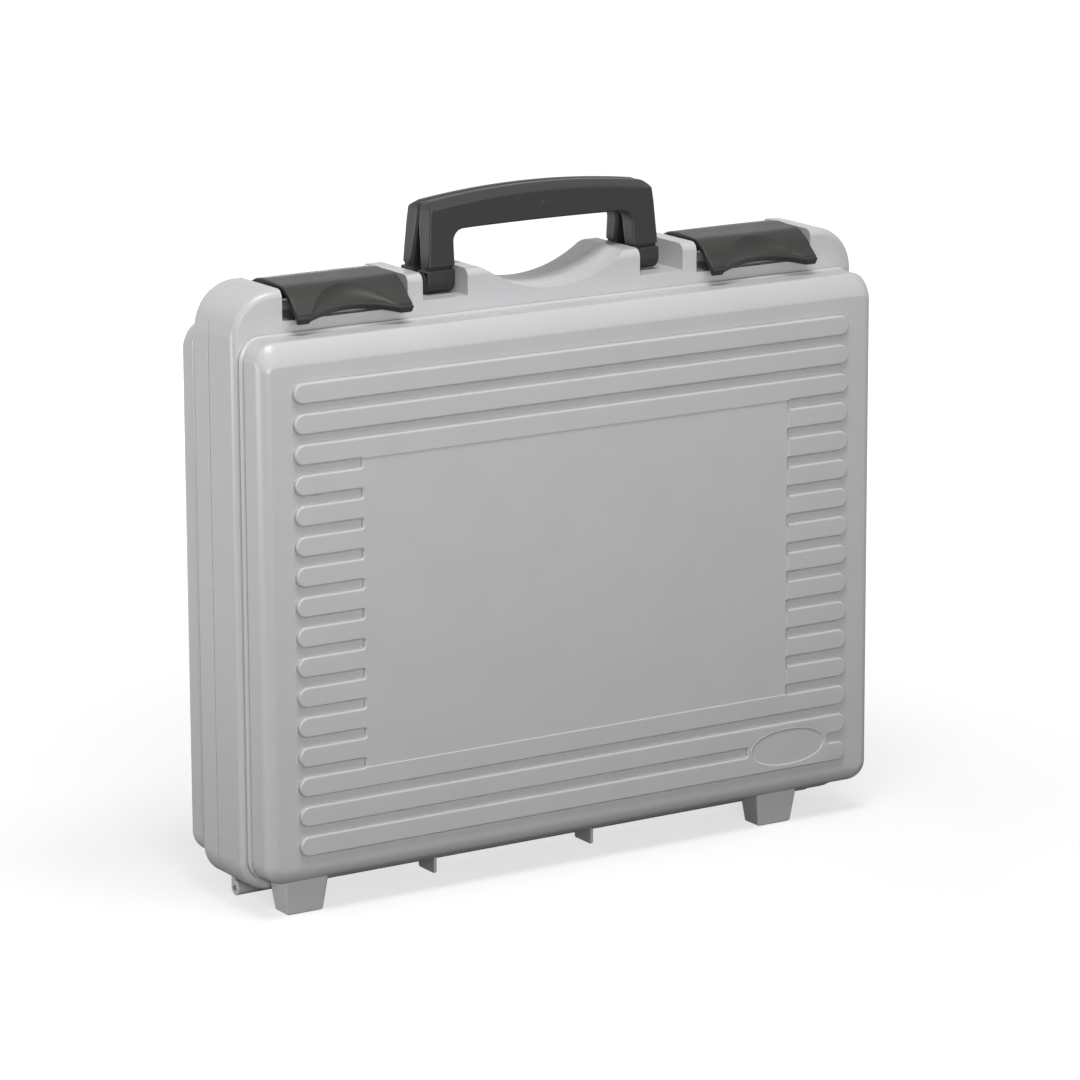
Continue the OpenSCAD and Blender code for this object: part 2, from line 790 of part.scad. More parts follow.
// Tapered foot under a block, at x, from depth y to y + d at the ground.
module foot(x, y, d) {
    top = block_bottom + cut;
    flare = foot_flare / 2;
    intersection() {
        along_y(y - flare, y + d + flare)
        polygon([
            [x - foot_w / 2, 0], [x + foot_w / 2, 0],
            [x + foot_w / 2 + flare, top], [x - foot_w / 2 - flare, top],
        ]);
        along_x(x - foot_w, x + foot_w)
        polygon([[y, 0], [y + d, 0], [y + d + 0.6, top], [y - 0.6, top]]);
    }
}

// Thin fin across the hinge side of the front rim.
module stop_fin(x) {
    fin_back = parting_y - knuckle_r - 2;
    along_x(x - fin_t / 2, x + fin_t / 2)
    polygon([
        [fin_back - fin_len, 0.5], [fin_back, 0.5],
        [fin_back, rim_bottom + cut], [fin_back - fin_len, rim_bottom + cut],
    ]);
}

// Start of knuckle i along X. Knuckle 0 is the short one at the left end.
function knuckle_start(i) =
    i == 0 ? hinge_left : hinge_left + short_knuckle + (i - 1) * knuckle_len;
function knuckle_end(i) = hinge_left + short_knuckle + i * knuckle_len;

// Every second knuckle, with the web that joins it to its own rim: even ones belong
// to the rear shell, odd ones to the front shell.
module knuckles(odd) {
    side = odd == 1 ? -1 : 1;
    web = knuckle_r - parting_gap / 2;
    for (i = [0:knuckle_count])
        if (i % 2 == odd)
            along_x(knuckle_start(i) + knuckle_gap / 2, knuckle_end(i) - knuckle_gap / 2) {
                translate([parting_y, hinge_z]) circle(knuckle_r);
                translate([parting_y + side * (web / 2 + parting_gap / 2), hinge_z])
                translate([-web / 2, 0]) square([web, rim_bottom - hinge_z + cut]);
            }
}

module hinge_bore() {
    along_x(-half_rim, half_rim)
    translate([parting_y, hinge_z]) circle(hinge_pin_r + hinge_pin_clear);
}
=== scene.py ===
import math

import bmesh
import bpy
import numpy as np
from mathutils import Matrix, Vector, geometry

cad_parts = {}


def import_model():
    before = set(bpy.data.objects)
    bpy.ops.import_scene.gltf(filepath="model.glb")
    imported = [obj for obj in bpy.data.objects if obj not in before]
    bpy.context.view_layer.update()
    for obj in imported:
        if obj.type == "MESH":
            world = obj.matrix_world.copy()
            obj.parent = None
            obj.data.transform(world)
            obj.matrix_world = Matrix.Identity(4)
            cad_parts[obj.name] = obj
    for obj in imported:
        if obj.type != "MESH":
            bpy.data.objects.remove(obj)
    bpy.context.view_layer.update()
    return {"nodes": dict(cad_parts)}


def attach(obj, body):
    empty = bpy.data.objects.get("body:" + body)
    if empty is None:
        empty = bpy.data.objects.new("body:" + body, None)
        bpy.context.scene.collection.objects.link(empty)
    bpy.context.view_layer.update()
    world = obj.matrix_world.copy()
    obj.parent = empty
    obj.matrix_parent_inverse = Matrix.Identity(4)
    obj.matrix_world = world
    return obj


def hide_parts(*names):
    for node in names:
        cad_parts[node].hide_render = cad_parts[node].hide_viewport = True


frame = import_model()

# Lengths in the building functions are millimetres. X is the width, Y the depth with
# the front facing -Y, and Z the height above the ground. A shell is built at depths q
# in front of its parting face, and is turned to its own side at the end.
MM = 0.001

# Tolerances: for welding points and for welding the face to its shell (metres), for a
# straight corner (radians), and for equal points and depths (millimetres)
WELD, SEAM_WELD = 1e-6, 2e-6
STRAIGHT = 1e-6
SAME_POINT, FILL_GAP, ON_FACE = 1e-4, 1e-5, 1e-3

# The rim of each shell, and how thick the walls are
PARTING_Y = 7.0
HALF = 194.0
BOTTOM, TOP = 9.8, 328.5
BOTTOM_R, TOP_R = 16.5, 24.2
WALL = 3.2

# The block that stands in front of the rim. The rounding round its face is BLOCK_ROUND
# wide at the bottom, SIDE_SHARE of that at the sides, and TOP_BEVEL at the top, where
# its curve is nearly flat.
HALF_BLOCK = 191.5
BLOCK_BOTTOM, BLOCK_TOP = 18.3, 305.4
BLOCK_R, BLOCK_ROUND, ROUND_DEPTH, TOP_BEVEL = 11.0, 9.5, 7.5, 12.2
SIDE_SHARE, BEVEL_POWER = 0.65, 1.3

# What differs between the two shells: the rim's depth, the rounding of its edge, how
# much of the grooves at its root is cut, how far the block stands in front of it, the
# height of the latch notches' floor, and the cavity's half width, bottom and top
FRONT_SHELL = dict(name="front_shell_body", sign=-1, rim=27.6, edge=4.5, groove=1.0, block=24.0,
                   latch_floor=312.0, cavity=(190.8, 13.0, 308.8), with_oval=True)
REAR_SHELL = dict(name="rear_shell_body", sign=1, rim=16.4, edge=1.9, groove=0.3, block=21.2,
                  latch_floor=316.1, cavity=(188.4, 13.0, 306.4), with_oval=False)

# Ribs, numbered from the bottom, and the panel that joins most of them
RIB_BOTTOM, RIB_PITCH, RIB_W = 33.3, 16.0, 10.9
RIB_END, RIB_CORNER = 173.85, 1.0
RELIEF = 2.0
PANEL_FIRST, PANEL_LAST, TOP_RIB = 2, 13, 15
PANEL_HALF, PANEL_DROP, PANEL_STEP = 134.15, 0.5, 0.12
OVAL_SLOT = (107.7, 161.9)

# Notches in the rims' tops: the handles' seats, the latches' notches, and the shallow
# pockets beside them, which end POCKET_BACK behind the rim's face
SEAT_IN, SEAT_OUT, SEAT_FLOOR = 54.0, 81.5, 314.2
NOTCH_IN, NOTCH_OUT = 90.5, 165.5
POCKET_IN, POCKET_OUT, POCKET_LOW, POCKET_HIGH, POCKET_BACK = 168.7, 181.0, 306.0, 314.5, 6.4

# Where the handles, the latches and the hinge turn
PIVOT_Z, FRONT_PIVOT_Y, MEET_Y = 321.3, -4.8, 2.9
LATCH_X, LATCH_Y, LATCH_Z = 128.0, 13.5, 323.0
HINGE_Z, HINGE_LEFT = 5.3, -184.45


# Mesh helpers

def rounded(points, radii, step=14.0):
    """Outline of a polygon with rounded corners: its points and their outward normals.
    The polygon runs counter-clockwise. step is how many degrees a corner turns between
    its points at most."""
    out, normals = [], []
    n = len(points)
    for i in range(n):
        a, b, c = (np.array(points[(i + k) % n], float) for k in (-1, 0, 1))
        u, v = (b - a) / np.linalg.norm(b - a), (c - b) / np.linalg.norm(c - b)
        turn = math.atan2(u[0] * v[1] - u[1] * v[0], u @ v)
        nu = np.array([u[1], -u[0]])
        r = radii[i]
        if r <= 0 or abs(turn) < STRAIGHT:
            mid = nu + np.array([v[1], -v[0]])
            out.append(b)
            normals.append(mid / np.linalg.norm(mid))
            continue
        start = b - u * r * math.tan(abs(turn) / 2)
        sign = 1 if turn > 0 else -1
        centre = start - nu * r * sign
        k = max(2, int(math.ceil(abs(math.degrees(turn)) / step)))
        for j in range(k + 1):
            t = turn * j / k
            m = np.array([nu[0] * math.cos(t) - nu[1] * math.sin(t),
                          nu[0] * math.sin(t) + nu[1] * math.cos(t)])
            out.append(centre + m * r * sign)
            normals.append(m)
    out, normals = np.array(out), np.array(normals)
    keep = np.linalg.norm(out - np.roll(out, 1, axis=0), axis=1) > SAME_POINT
    return out[keep], normals[keep]


def box_outline(x0, x1, z0, z1, r, step):
    """Rounded rectangle."""
    return rounded([(x0, z0), (x1, z0), (x1, z1), (x0, z1)], [r] * 4, step)[0]


def circle(cu, cv, r, n=40):
    """Points of a circle and their outward normals."""
    a = np.linspace(0, 2 * math.pi, n, endpoint=False)
    normals = np.c_[np.cos(a), np.sin(a)]
    return normals * r + (cu, cv), normals


def quarter(r, steps):
    """Quarter round of radius r between two faces: how far each point lies from the one
    and from the other, starting at r and 0."""
    return [(r * (1 - math.sin(a)), r * (1 - math.cos(a)))
            for a in (math.pi / 2 * k / steps for k in range(steps + 1))]


def inside(points, outline):
    """Which of the points lie inside a closed outline."""
    x, z = points[:, 0][:, None], points[:, 1][:, None]
    a, b = outline, np.roll(outline, -1, axis=0)
    crosses = (a[:, 1] > z) != (b[:, 1] > z)
    # Level sides are never crossed, so any rise but 0 will do for them.
    rise = np.where(b[:, 1] == a[:, 1], 1e-12, b[:, 1] - a[:, 1])
    at = a[:, 0] + (z - a[:, 1]) / rise * (b[:, 0] - a[:, 0])
    return (crosses & (x < at)).sum(1) % 2 == 1


class Edit:
    """A mesh opened as a bmesh, and written back at the end of the with block."""

    def __init__(self, me):
        self.me, self.bm = me, bmesh.new()

    def __enter__(self):
        self.bm.from_mesh(self.me)
        return self.bm

    def __exit__(self, *error):
        self.bm.to_mesh(self.me)
        self.bm.free()


class Build:
    """Collects points in millimetres and faces, and makes one object of them."""

    def __init__(self):
        self.points, self.faces, self.count = [], [], 0

    def add(self, pts):
        self.points.append(np.asarray(pts, float))
        start = self.count
        self.count += len(pts)
        return list(range(start, self.count))

    def bridge(self, a, b):
        """Quads between two closed rings of the same number of points."""
        n = len(a)
        for i in range(n):
            j = (i + 1) % n
            self.faces.append((a[i], a[j], b[j], b[i]))

    def tube(self, rings):
        """Closed rings joined to a tube with open ends."""
        ids = [self.add(r) for r in rings]
        for a, b in zip(ids, ids[1:]):
            self.bridge(a, b)
        return ids

    def cup(self, rings):
        """A tube that is closed at its last ring."""
        ids = self.tube(rings)
        self.faces.append(tuple(ids[-1]))
        return ids

    def solid(self, rings):
        """A tube that is closed at both ends."""
        ids = self.tube(rings)
        self.faces += [tuple(ids[0][::-1]), tuple(ids[-1])]

    def fill(self, outer, holes, place, lines=()):
        """Flat triangles between an outline and its holes, all given in two
        dimensions. place lifts them into space. Lines are kept as edges."""
        loops = [np.asarray(outer)] + [np.asarray(h) for h in holes]
        pts, edges = [], []
        for loop in loops:
            k = len(pts)
            pts += [Vector(p) for p in loop]
            edges += [(k + i, k + (i + 1) % len(loop)) for i in range(len(loop))]
        for a, b in lines:
            k = len(pts)
            pts += [Vector(a), Vector(b)]
            edges.append((k, k + 1))
        v, _, f, _, _, _ = geometry.delaunay_2d_cdt(pts, edges, [], 1, FILL_GAP)
        v = np.array([tuple(p) for p in v])
        mid = np.array([v[list(t)].mean(0) for t in f])
        keep = inside(mid, loops[0])
        for h in loops[1:]:
            keep &= ~inside(mid, h)
        ids = self.add(place(v))
        for t, k in zip(f, keep):
            if k:
                self.faces.append(tuple(ids[i] for i in t))

    def object(self, name):
        me = bpy.data.meshes.new(name)
        pts = np.concatenate(self.points) * MM
        me.from_pydata([tuple(p) for p in pts], [], self.faces)
        with Edit(me) as bm:
            bmesh.ops.remove_doubles(bm, verts=bm.verts, dist=WELD)
            loose = [v for v in bm.verts if not v.link_faces]
            bmesh.ops.delete(bm, geom=loose, context="VERTS")
            bmesh.ops.recalc_face_normals(bm, faces=bm.faces)
        return placed(name, me)


def placed(name, data):
    """A new object in the scene."""
    o = bpy.data.objects.new(name, data)
    bpy.context.scene.collection.objects.link(o)
    return o


def applied(o):
    """Applies an object's modifiers to its mesh."""
    graph = bpy.context.evaluated_depsgraph_get()
    me = bpy.data.meshes.new_from_object(o.evaluated_get(graph), depsgraph=graph)
    o.modifiers.clear()
    old = o.data
    o.data = me
    bpy.data.meshes.remove(old)
    return o


def smooth(o, angle=38.0):
    """Smooth shading with sharp edges kept, and normals that follow the large faces."""
    o.data.shade_smooth()
    o.data.set_sharp_from_angle(angle=math.radians(angle))
    m = o.modifiers.new("normals", "WEIGHTED_NORMAL")
    m.keep_sharp = True
    m.weight = 60
    return applied(o)


def join(parts, name):
    """Joins several objects, each a closed body, into one piece."""
    with bpy.context.temp_override(active_object=parts[0], selected_editable_objects=parts):
        bpy.ops.object.join()
    parts[0].name = name
    return parts[0]


def subtract(o, cutter):
    m = o.modifiers.new("cut", "BOOLEAN")
    m.operation = "DIFFERENCE"
    m.solver = "EXACT"
    m.object = cutter
    applied(o)
    bpy.data.objects.remove(cutter)


def set_depths(o, start, sign):
    """Moves each point from depth y to start + sign * y. A sign of -1 mirrors the mesh."""
    me = o.data
    co = np.zeros(len(me.vertices) * 3)
    me.vertices.foreach_get("co", co)
    co = co.reshape(-1, 3)
    co[:, 1] = start * MM + sign * co[:, 1]
    me.vertices.foreach_set("co", co.ravel())
    if sign < 0:
        me.flip_normals()
    me.update()


def to_xz(y):
    """Lifts (x, z) points to depth y, which may be a function of the points."""
    def place(p):
        depth = y(p) if callable(y) else np.full(len(p), y)
        return np.c_[p[:, 0], depth, p[:, 1]]
    return place


# Materials. Their lengths are metres, and the scales of their noises are per metre.

NOISE = (0.3, 0.7)  # the values that most of a noise lies between
PATCH_SCALE, SCUFF_SCALE, WAVE_SCALE = 38.0, 420.0, 55.0
EDGE_RADIUS, WAVE_DEPTH = 0.0009, 0.00012


class Nodes:
    """Adds nodes to a tree. An input goes by its name, with _ for a space, or by its
    number, as in i0, and is given as a value or as another node's output."""

    def __init__(self, tree):
        self.tree = tree

    def add(self, kind, settings=None, **inputs):
        n = self.tree.nodes.new(kind)
        for key, value in (settings or {}).items():
            setattr(n, key, value)
        for key, value in inputs.items():
            k = int(key[1:]) if key[0] == "i" and key[1:].isdigit() else key.replace("_", " ")
            self.put(n.inputs[k], value)
        return n

    def put(self, socket, value):
        if isinstance(value, bpy.types.NodeSocket):
            self.tree.links.new(value, socket)
        else:
            socket.default_value = value

    def noise(self, where, scale, detail):
        return self.add("ShaderNodeTexNoise", Vector=where, Scale=scale, Detail=detail).outputs[0]

    def math(self, operation, a, b):
        return self.add("ShaderNodeMath", {"operation": operation}, i0=a, i1=b).outputs[0]

    def ramp(self, value, a, b, to_a=0.0, to_b=1.0):
        return self.add("ShaderNodeMapRange", Value=value, From_Min=a, From_Max=b,
                        To_Min=to_a, To_Max=to_b).outputs[0]

    def mix(self, factor, a, b):
        """Mix of two colours. Each is red, green and blue, or another node's output."""
        a, b = ((*c, 1) if isinstance(c, tuple) else c for c in (a, b))
        return self.add("ShaderNodeMix", {"data_type": "RGBA"}, i0=factor, i6=a, i7=b).outputs[2]

    def bump(self, height, distance, strength, normal=None):
        n = self.add("ShaderNodeBump", Height=height, Distance=distance, Strength=strength)
        if normal is not None:
            self.put(n.inputs["Normal"], normal)
        return n.outputs[0]

    def shaders(self, factor, a, b):
        return self.add("ShaderNodeMixShader", i0=factor, i1=a, i2=b).outputs[0]


def edges(n, radius):
    """How near a point is to an outer or inner edge, from 0 to 1."""
    bevel = n.add("ShaderNodeBevel", {"samples": 4}, Radius=radius)
    geo = n.add("ShaderNodeNewGeometry")
    dot = n.add("ShaderNodeVectorMath", {"operation": "DOT_PRODUCT"}, i0=bevel.outputs[0],
                i1=geo.outputs["Normal"])
    return n.ramp(dot.outputs["Value"], 0.995, 0.86)


def new_material(name):
    """A new material with its nodes, its shader and the coordinates of its textures."""
    m = bpy.data.materials.new(name)
    m.use_nodes = True
    n = Nodes(m.node_tree)
    shader = m.node_tree.nodes["Principled BSDF"].inputs
    return m, n, shader, n.add("ShaderNodeTexCoord").outputs["Object"]


def plastic(name, colour, worn, rough, specular, grain, depth, wear):
    """Moulded satin plastic: fine grain, slight waves from the mould, uneven gloss and
    worn edges."""
    m, n, shader, where = new_material(name)
    patches = n.noise(where, PATCH_SCALE, 4.0)
    fine = n.noise(where, grain, 3.0)
    scuffs = n.noise(where, SCUFF_SCALE, 5.0)
    edge = n.math("MULTIPLY", edges(n, EDGE_RADIUS), n.ramp(scuffs, 0.25, 0.5))
    edge = n.math("MULTIPLY", edge, wear)
    dull = tuple(c * 0.965 for c in colour)
    base = n.mix(n.ramp(patches, *NOISE), dull, colour)
    n.put(shader["Base Color"], n.mix(edge, base, worn))
    gloss = n.math("ADD", n.ramp(patches, *NOISE, rough + 0.045, rough - 0.03),
                   n.ramp(fine, *NOISE, -0.035, 0.035))
    n.put(shader["Roughness"], n.math("ADD", gloss, n.math("MULTIPLY", edge, 0.12)))
    waves = n.bump(n.noise(where, WAVE_SCALE, 1.0), WAVE_DEPTH, 0.5)
    n.put(shader["Normal"], n.bump(fine, depth, 0.55, waves))
    n.put(shader["Specular IOR Level"], specular)
    return m


def steel(name):
    """Drawn wire: fine lines along x."""
    m, n, shader, where = new_material(name)
    stretched = n.add("ShaderNodeMapping", Vector=where, Scale=(60.0, 5200.0, 5200.0))
    lines = n.noise(stretched.outputs[0], 1.0, 3.0)
    n.put(shader["Base Color"],
          n.mix(n.noise(where, 300.0, 3.0), (0.50, 0.50, 0.505), (0.60, 0.60, 0.61)))
    n.put(shader["Roughness"], n.ramp(lines, *NOISE, 0.26, 0.40))
    n.put(shader["Normal"], n.bump(lines, 0.00002, 0.5))
    n.put(shader["Metallic"], 1.0)
    return m


SHELL = plastic("shell", (0.59, 0.588, 0.60), (0.72, 0.72, 0.73), rough=0.30, specular=0.5,
                grain=2600.0, depth=0.00003, wear=0.35)
HANDLE = plastic("handle", (0.030, 0.030, 0.0306), (0.085, 0.085, 0.086), rough=0.40,
                 specular=0.30, grain=1500.0, depth=0.00006, wear=0.3)
LATCH = plastic("latch", (0.026, 0.0248, 0.0228), (0.08, 0.078, 0.074), rough=0.42,
                specular=0.32, grain=2000.0, depth=0.00004, wear=0.22)
STEEL = steel("pin")


# Shells

CORNER_STEPS = 10
EDGE_STEPS, FACE_STEPS = 7, 12

# The chamfer round the parting face: depth, and how far in from the rim's side
PARTING_PROFILE = ((0.15, 0.55), (0.28, 0.22), (0.6, 0.0))

# How far out from the block's side the rim ends
ROOT = 0.9

# The block's foot on the rim: depth past the rim's face, how far out from the block's
# side, and how much of the depth that the rim lacks at the left and right it takes over.
# It starts with a groove, rises over a bead and falls into a second groove.
ROOT_PROFILE = ((0.1, 0.3, 0.8), (0.35, -0.35, 0.5), (1.2, -0.4, 0.1), (1.55, -0.1, 0),
                (1.75, 0.6, 0), (2.1, 0.9, 0), (2.6, 1.0, 0), (3.1, 0.9, 0), (3.45, 0.6, 0),
                (3.65, -0.3, 0), (3.9, -0.75, 0), (4.8, -0.8, 0), (5.2, -0.6, 0),
                (5.5, -0.15, 0), (5.8, 0.0, 0))

# A rib's side: how far out from its outline, and height. It starts with a groove
# round the rib's foot and ends with the rounding of its top.
RIB_PROFILE = [(0.9, 0.0), (0.75, -0.08), (0.58, -0.3), (0.38, -0.42), (0.15, -0.38),
               (0.04, -0.15), (0.0, 0.1), (-0.04, 0.98)] + [
    (-0.04 - 1.06 * (1 - math.cos(a)), 0.98 + 1.02 * math.sin(a))
    for a in (math.pi / 2 * k / 6 for k in range(1, 7))]

# The oval: centre, half axes, points, power of its curve, and its bead's profile
OVAL_X, OVAL_Z = 134.8, RIB_BOTTOM + (RIB_PITCH + RIB_W) / 2 - 0.6
OVAL_A, OVAL_B = 23.6, 9.5
OVAL_POINTS, OVAL_POWER, OVAL_FLOOR = 96, 2.15, -0.42
OVAL_PROFILE = ((1.75, 0.0), (1.45, -0.16), (1.2, 0.02), (0.95, 0.0), (0.6, 0.0), (0.3, -0.08),
                (0.1, -0.25), (-0.15, -0.38), (-0.5, OVAL_FLOOR))


def block_ring(q, half, z0, z1, r0, r1):
    """Rounded rectangle at depth q, and how much each point belongs to the left or
    right side."""
    pts, side = [], []
    for cx, cz, r, start in ((half - r0, z0 + r0, r0, -90), (half - r1, z1 - r1, r1, 0),
                             (r1 - half, z1 - r1, r1, 90), (r0 - half, z0 + r0, r0, 180)):
        for k in range(CORNER_STEPS + 1):
            a = math.radians(start + 90 * k / CORNER_STEPS)
            pts.append((cx + r * math.cos(a), q, cz + r * math.sin(a)))
            side.append(math.cos(a) ** 2)
    return np.array(pts), np.array(side)


def inset(r, d):
    """Radius of a corner of radius r that is moved in by d."""
    return max(r - d, 0.3)


def outer_rings(rim, edge, groove, block):
    """Rings from the parting face over the rim, its root groove and bead, up the
    block's side and round its edge to its face."""
    rings = []

    def rim_ring(q, d):
        rings.append(block_ring(q, HALF - d, BOTTOM + d, TOP - d, inset(BOTTOM_R, d),
                                inset(TOP_R, d))[0])

    for q, d in PARTING_PROFILE:
        rim_ring(q, d)
    rim_ring(rim - edge, 0.0)

    # The rim is only a little wider than the block, so its rounding stops early at the
    # left and right.
    reach = HALF - HALF_BLOCK - ROOT
    stop = math.acos(1 - reach / edge) / (math.pi / 2)
    _, side = block_ring(0, HALF, BOTTOM, TOP, BOTTOM_R, TOP_R)
    for k in range(1, EDGE_STEPS + 1):
        full = math.pi / 2 * k / EDGE_STEPS
        a = full * (1 - side * (1 - stop))
        d = edge * (1 - np.cos(a))
        pts = np.array([block_ring(0, HALF - t, BOTTOM + t, TOP - t, BOTTOM_R - t, TOP_R - t)[0][i]
                        for i, t in enumerate(d)])
        pts[:, 1] = rim - edge + edge * np.sin(a)
        rings.append(pts)

    def step_ring(q, d, side_back):
        ring, side = block_ring(q, HALF_BLOCK + d, BLOCK_BOTTOM - d, BLOCK_TOP + d,
                                BLOCK_R + d, BLOCK_R + d)
        ring[:, 1] -= side_back * side
        rings.append(ring)

    back = edge * (1 - math.sin(stop * math.pi / 2))
    step_ring(rim, ROOT + 0.02, back)
    for q, d, share in ROOT_PROFILE:
        step_ring(rim + q, max(d, d * groove), share * back)

    # The rounding is narrower at the sides, and nearly a flat bevel at the top.
    start = 0.1
    for k in range(FACE_STEPS + 1):
        a = math.pi / 2 * k / FACE_STEPS
        d = start + (BLOCK_ROUND - start) * (1 - math.cos(a))
        slope = 1 - (1 - math.sin(a) ** BEVEL_POWER) ** (1 / BEVEL_POWER)
        rings.append(block_ring(rim + block - ROUND_DEPTH * (1 - math.sin(a)),
                                HALF_BLOCK - SIDE_SHARE * d, BLOCK_BOTTOM + d,
                                BLOCK_TOP - start - (TOP_BEVEL - start) * slope,
                                inset(BLOCK_R, d), inset(BLOCK_R, d))[0])
    return rings


def inner_rings(rim, block, half, z0, z1):
    """Rings of the cavity, from the parting face inwards."""
    rings = []
    ledge_round, floor_round = 2.0, 6.0

    def rim_ring(q, d):
        r0, r1 = BOTTOM_R - WALL, BLOCK_R
        rings.append(block_ring(q, half - d, z0 + d, z1 - d, r0 - d, r1 - d)[0])

    def block_cavity(q, d):
        r = BLOCK_R - WALL - d
        rings.append(block_ring(q, min(HALF_BLOCK - WALL - d, half - 2.05),
                                BLOCK_BOTTOM + WALL + d, BLOCK_TOP - WALL - d, r, r)[0])

    # A small chamfer at the parting face, the rim's cavity with a round ledge, and the
    # block's cavity with a round floor
    rim_ring(0.15, -0.35)
    rim_ring(0.5, 0.0)
    low = rim - WALL
    for back, d in quarter(ledge_round, 4)[:4]:
        rim_ring(low - back, d)
    for q, d in ((0.0, -0.6), (0.25, -0.2), (0.7, 0.0)):
        block_cavity(low + q, d)
    for back, d in quarter(floor_round, 6):
        block_cavity(rim + block - WALL - back, d)
    return rings


def comb(first, last, slots=()):
    """Outline of ribs first to last, joined between the ends of the slots between
    them: slots[k] = (left end, right end) of the joined part."""
    r, small = RIB_W / 2, RIB_CORNER
    low = [RIB_BOTTOM + RIB_PITCH * i for i in range(first, last + 1)]
    pts, radii = [(RIB_END, low[0]), (RIB_END, low[0] + RIB_W)], [r, r]
    for k, z in enumerate(low[1:]):
        x = slots[k][1]
        pts += [(x, low[k] + RIB_W), (x, z), (RIB_END, z), (RIB_END, z + RIB_W)]
        radii += [small, small, r, r]
    pts += [(-RIB_END, low[-1] + RIB_W), (-RIB_END, low[-1])]
    radii += [r, r]
    for k in range(len(low) - 2, -1, -1):
        x = slots[k][0]
        pts += [(x, low[k + 1]), (x, low[k] + RIB_W), (-RIB_END, low[k] + RIB_W),
                (-RIB_END, low[k])]
        radii += [small, small, r, r]
    return rounded(pts, radii, 12.0)


def face_panel(b, boundary, face_q, with_oval):
    """The block's face with its ribs and panel standing on it, inside a boundary ring."""
    z_low = RIB_BOTTOM + PANEL_FIRST * RIB_PITCH + RIB_W
    z_high = RIB_BOTTOM + PANEL_LAST * RIB_PITCH
    rib_round, line_half = 1.75, 132.3

    def height(p):
        """Height of the joined ribs' tops, which drop to the panel."""
        within = np.minimum(np.minimum(PANEL_HALF - np.abs(p[:, 0]), p[:, 1] - z_low),
                            z_high - p[:, 1])
        t = np.clip((within + PANEL_STEP) / (2 * PANEL_STEP), 0, 1)
        return RELIEF - PANEL_DROP * (t * t * (3 - 2 * t))

    # The edges that the drop to the panel needs
    lines = []
    for s in (-1, 1):
        for i in range(PANEL_FIRST + 1, PANEL_LAST):
            z0 = RIB_BOTTOM + RIB_PITCH * i
            for x in (PANEL_HALF + PANEL_STEP, PANEL_HALF - PANEL_STEP):
                lines.append(((s * x, z0 + rib_round), (s * x, z0 + RIB_W - rib_round)))
    for z in (z_low - PANEL_STEP, z_low + PANEL_STEP, z_high - PANEL_STEP, z_high + PANEL_STEP):
        lines.append(((-line_half, z), (line_half, z)))

    slots = [(-PANEL_HALF, PANEL_HALF)] * (PANEL_LAST - PANEL_FIRST)
    islands = [(comb(i, i), "rib") for i in range(PANEL_LAST + 1, TOP_RIB + 1)]
    islands.append((comb(PANEL_FIRST, PANEL_LAST, slots), "panel"))
    if with_oval:
        islands.append((comb(0, 1, [OVAL_SLOT]), "oval"))
    else:
        islands += [(comb(i, i), "rib") for i in (0, 1)]
    feet = []
    for (outline, normal), kind in islands:
        top = height(outline) if kind == "panel" else np.full(len(outline), RELIEF)
        rings = []
        for d, h in RIB_PROFILE:
            ring = outline + normal * d
            rings.append(np.c_[ring[:, 0], face_q + h * top / RELIEF, ring[:, 1]])
        b.tube(rings)
        last = rings[-1][:, [0, 2]]
        if kind == "panel":
            b.fill(last, [], to_xz(lambda p: face_q + height(p)), lines)
        elif kind == "oval":
            oval_on(b, last, face_q)
        else:
            b.fill(last, [], to_xz(face_q + RELIEF))
        feet.append(rings[0][:, [0, 2]])
    b.fill(boundary[:, [0, 2]], feet, to_xz(face_q))


def oval_on(b, outline, face_q):
    """Fills the two lowest ribs' tops round a blank oval with a raised bead."""
    def ring(d, h):
        t = np.linspace(0, 2 * math.pi, OVAL_POINTS, endpoint=False)
        x, z = (np.sign(w) * np.abs(w) ** (2 / OVAL_POWER) * (axis + d)
                for w, axis in ((np.cos(t), OVAL_A), (np.sin(t), OVAL_B)))
        return np.c_[OVAL_X + x, np.full(OVAL_POINTS, face_q + RELIEF + h), OVAL_Z + z]

    rings = [ring(d, h) for d, h in OVAL_PROFILE]
    b.tube(rings)
    b.fill(rings[-1][:, [0, 2]], [], to_xz(face_q + RELIEF + OVAL_FLOOR))
    b.fill(outline, [rings[0][:, [0, 2]]], to_xz(face_q + RELIEF))


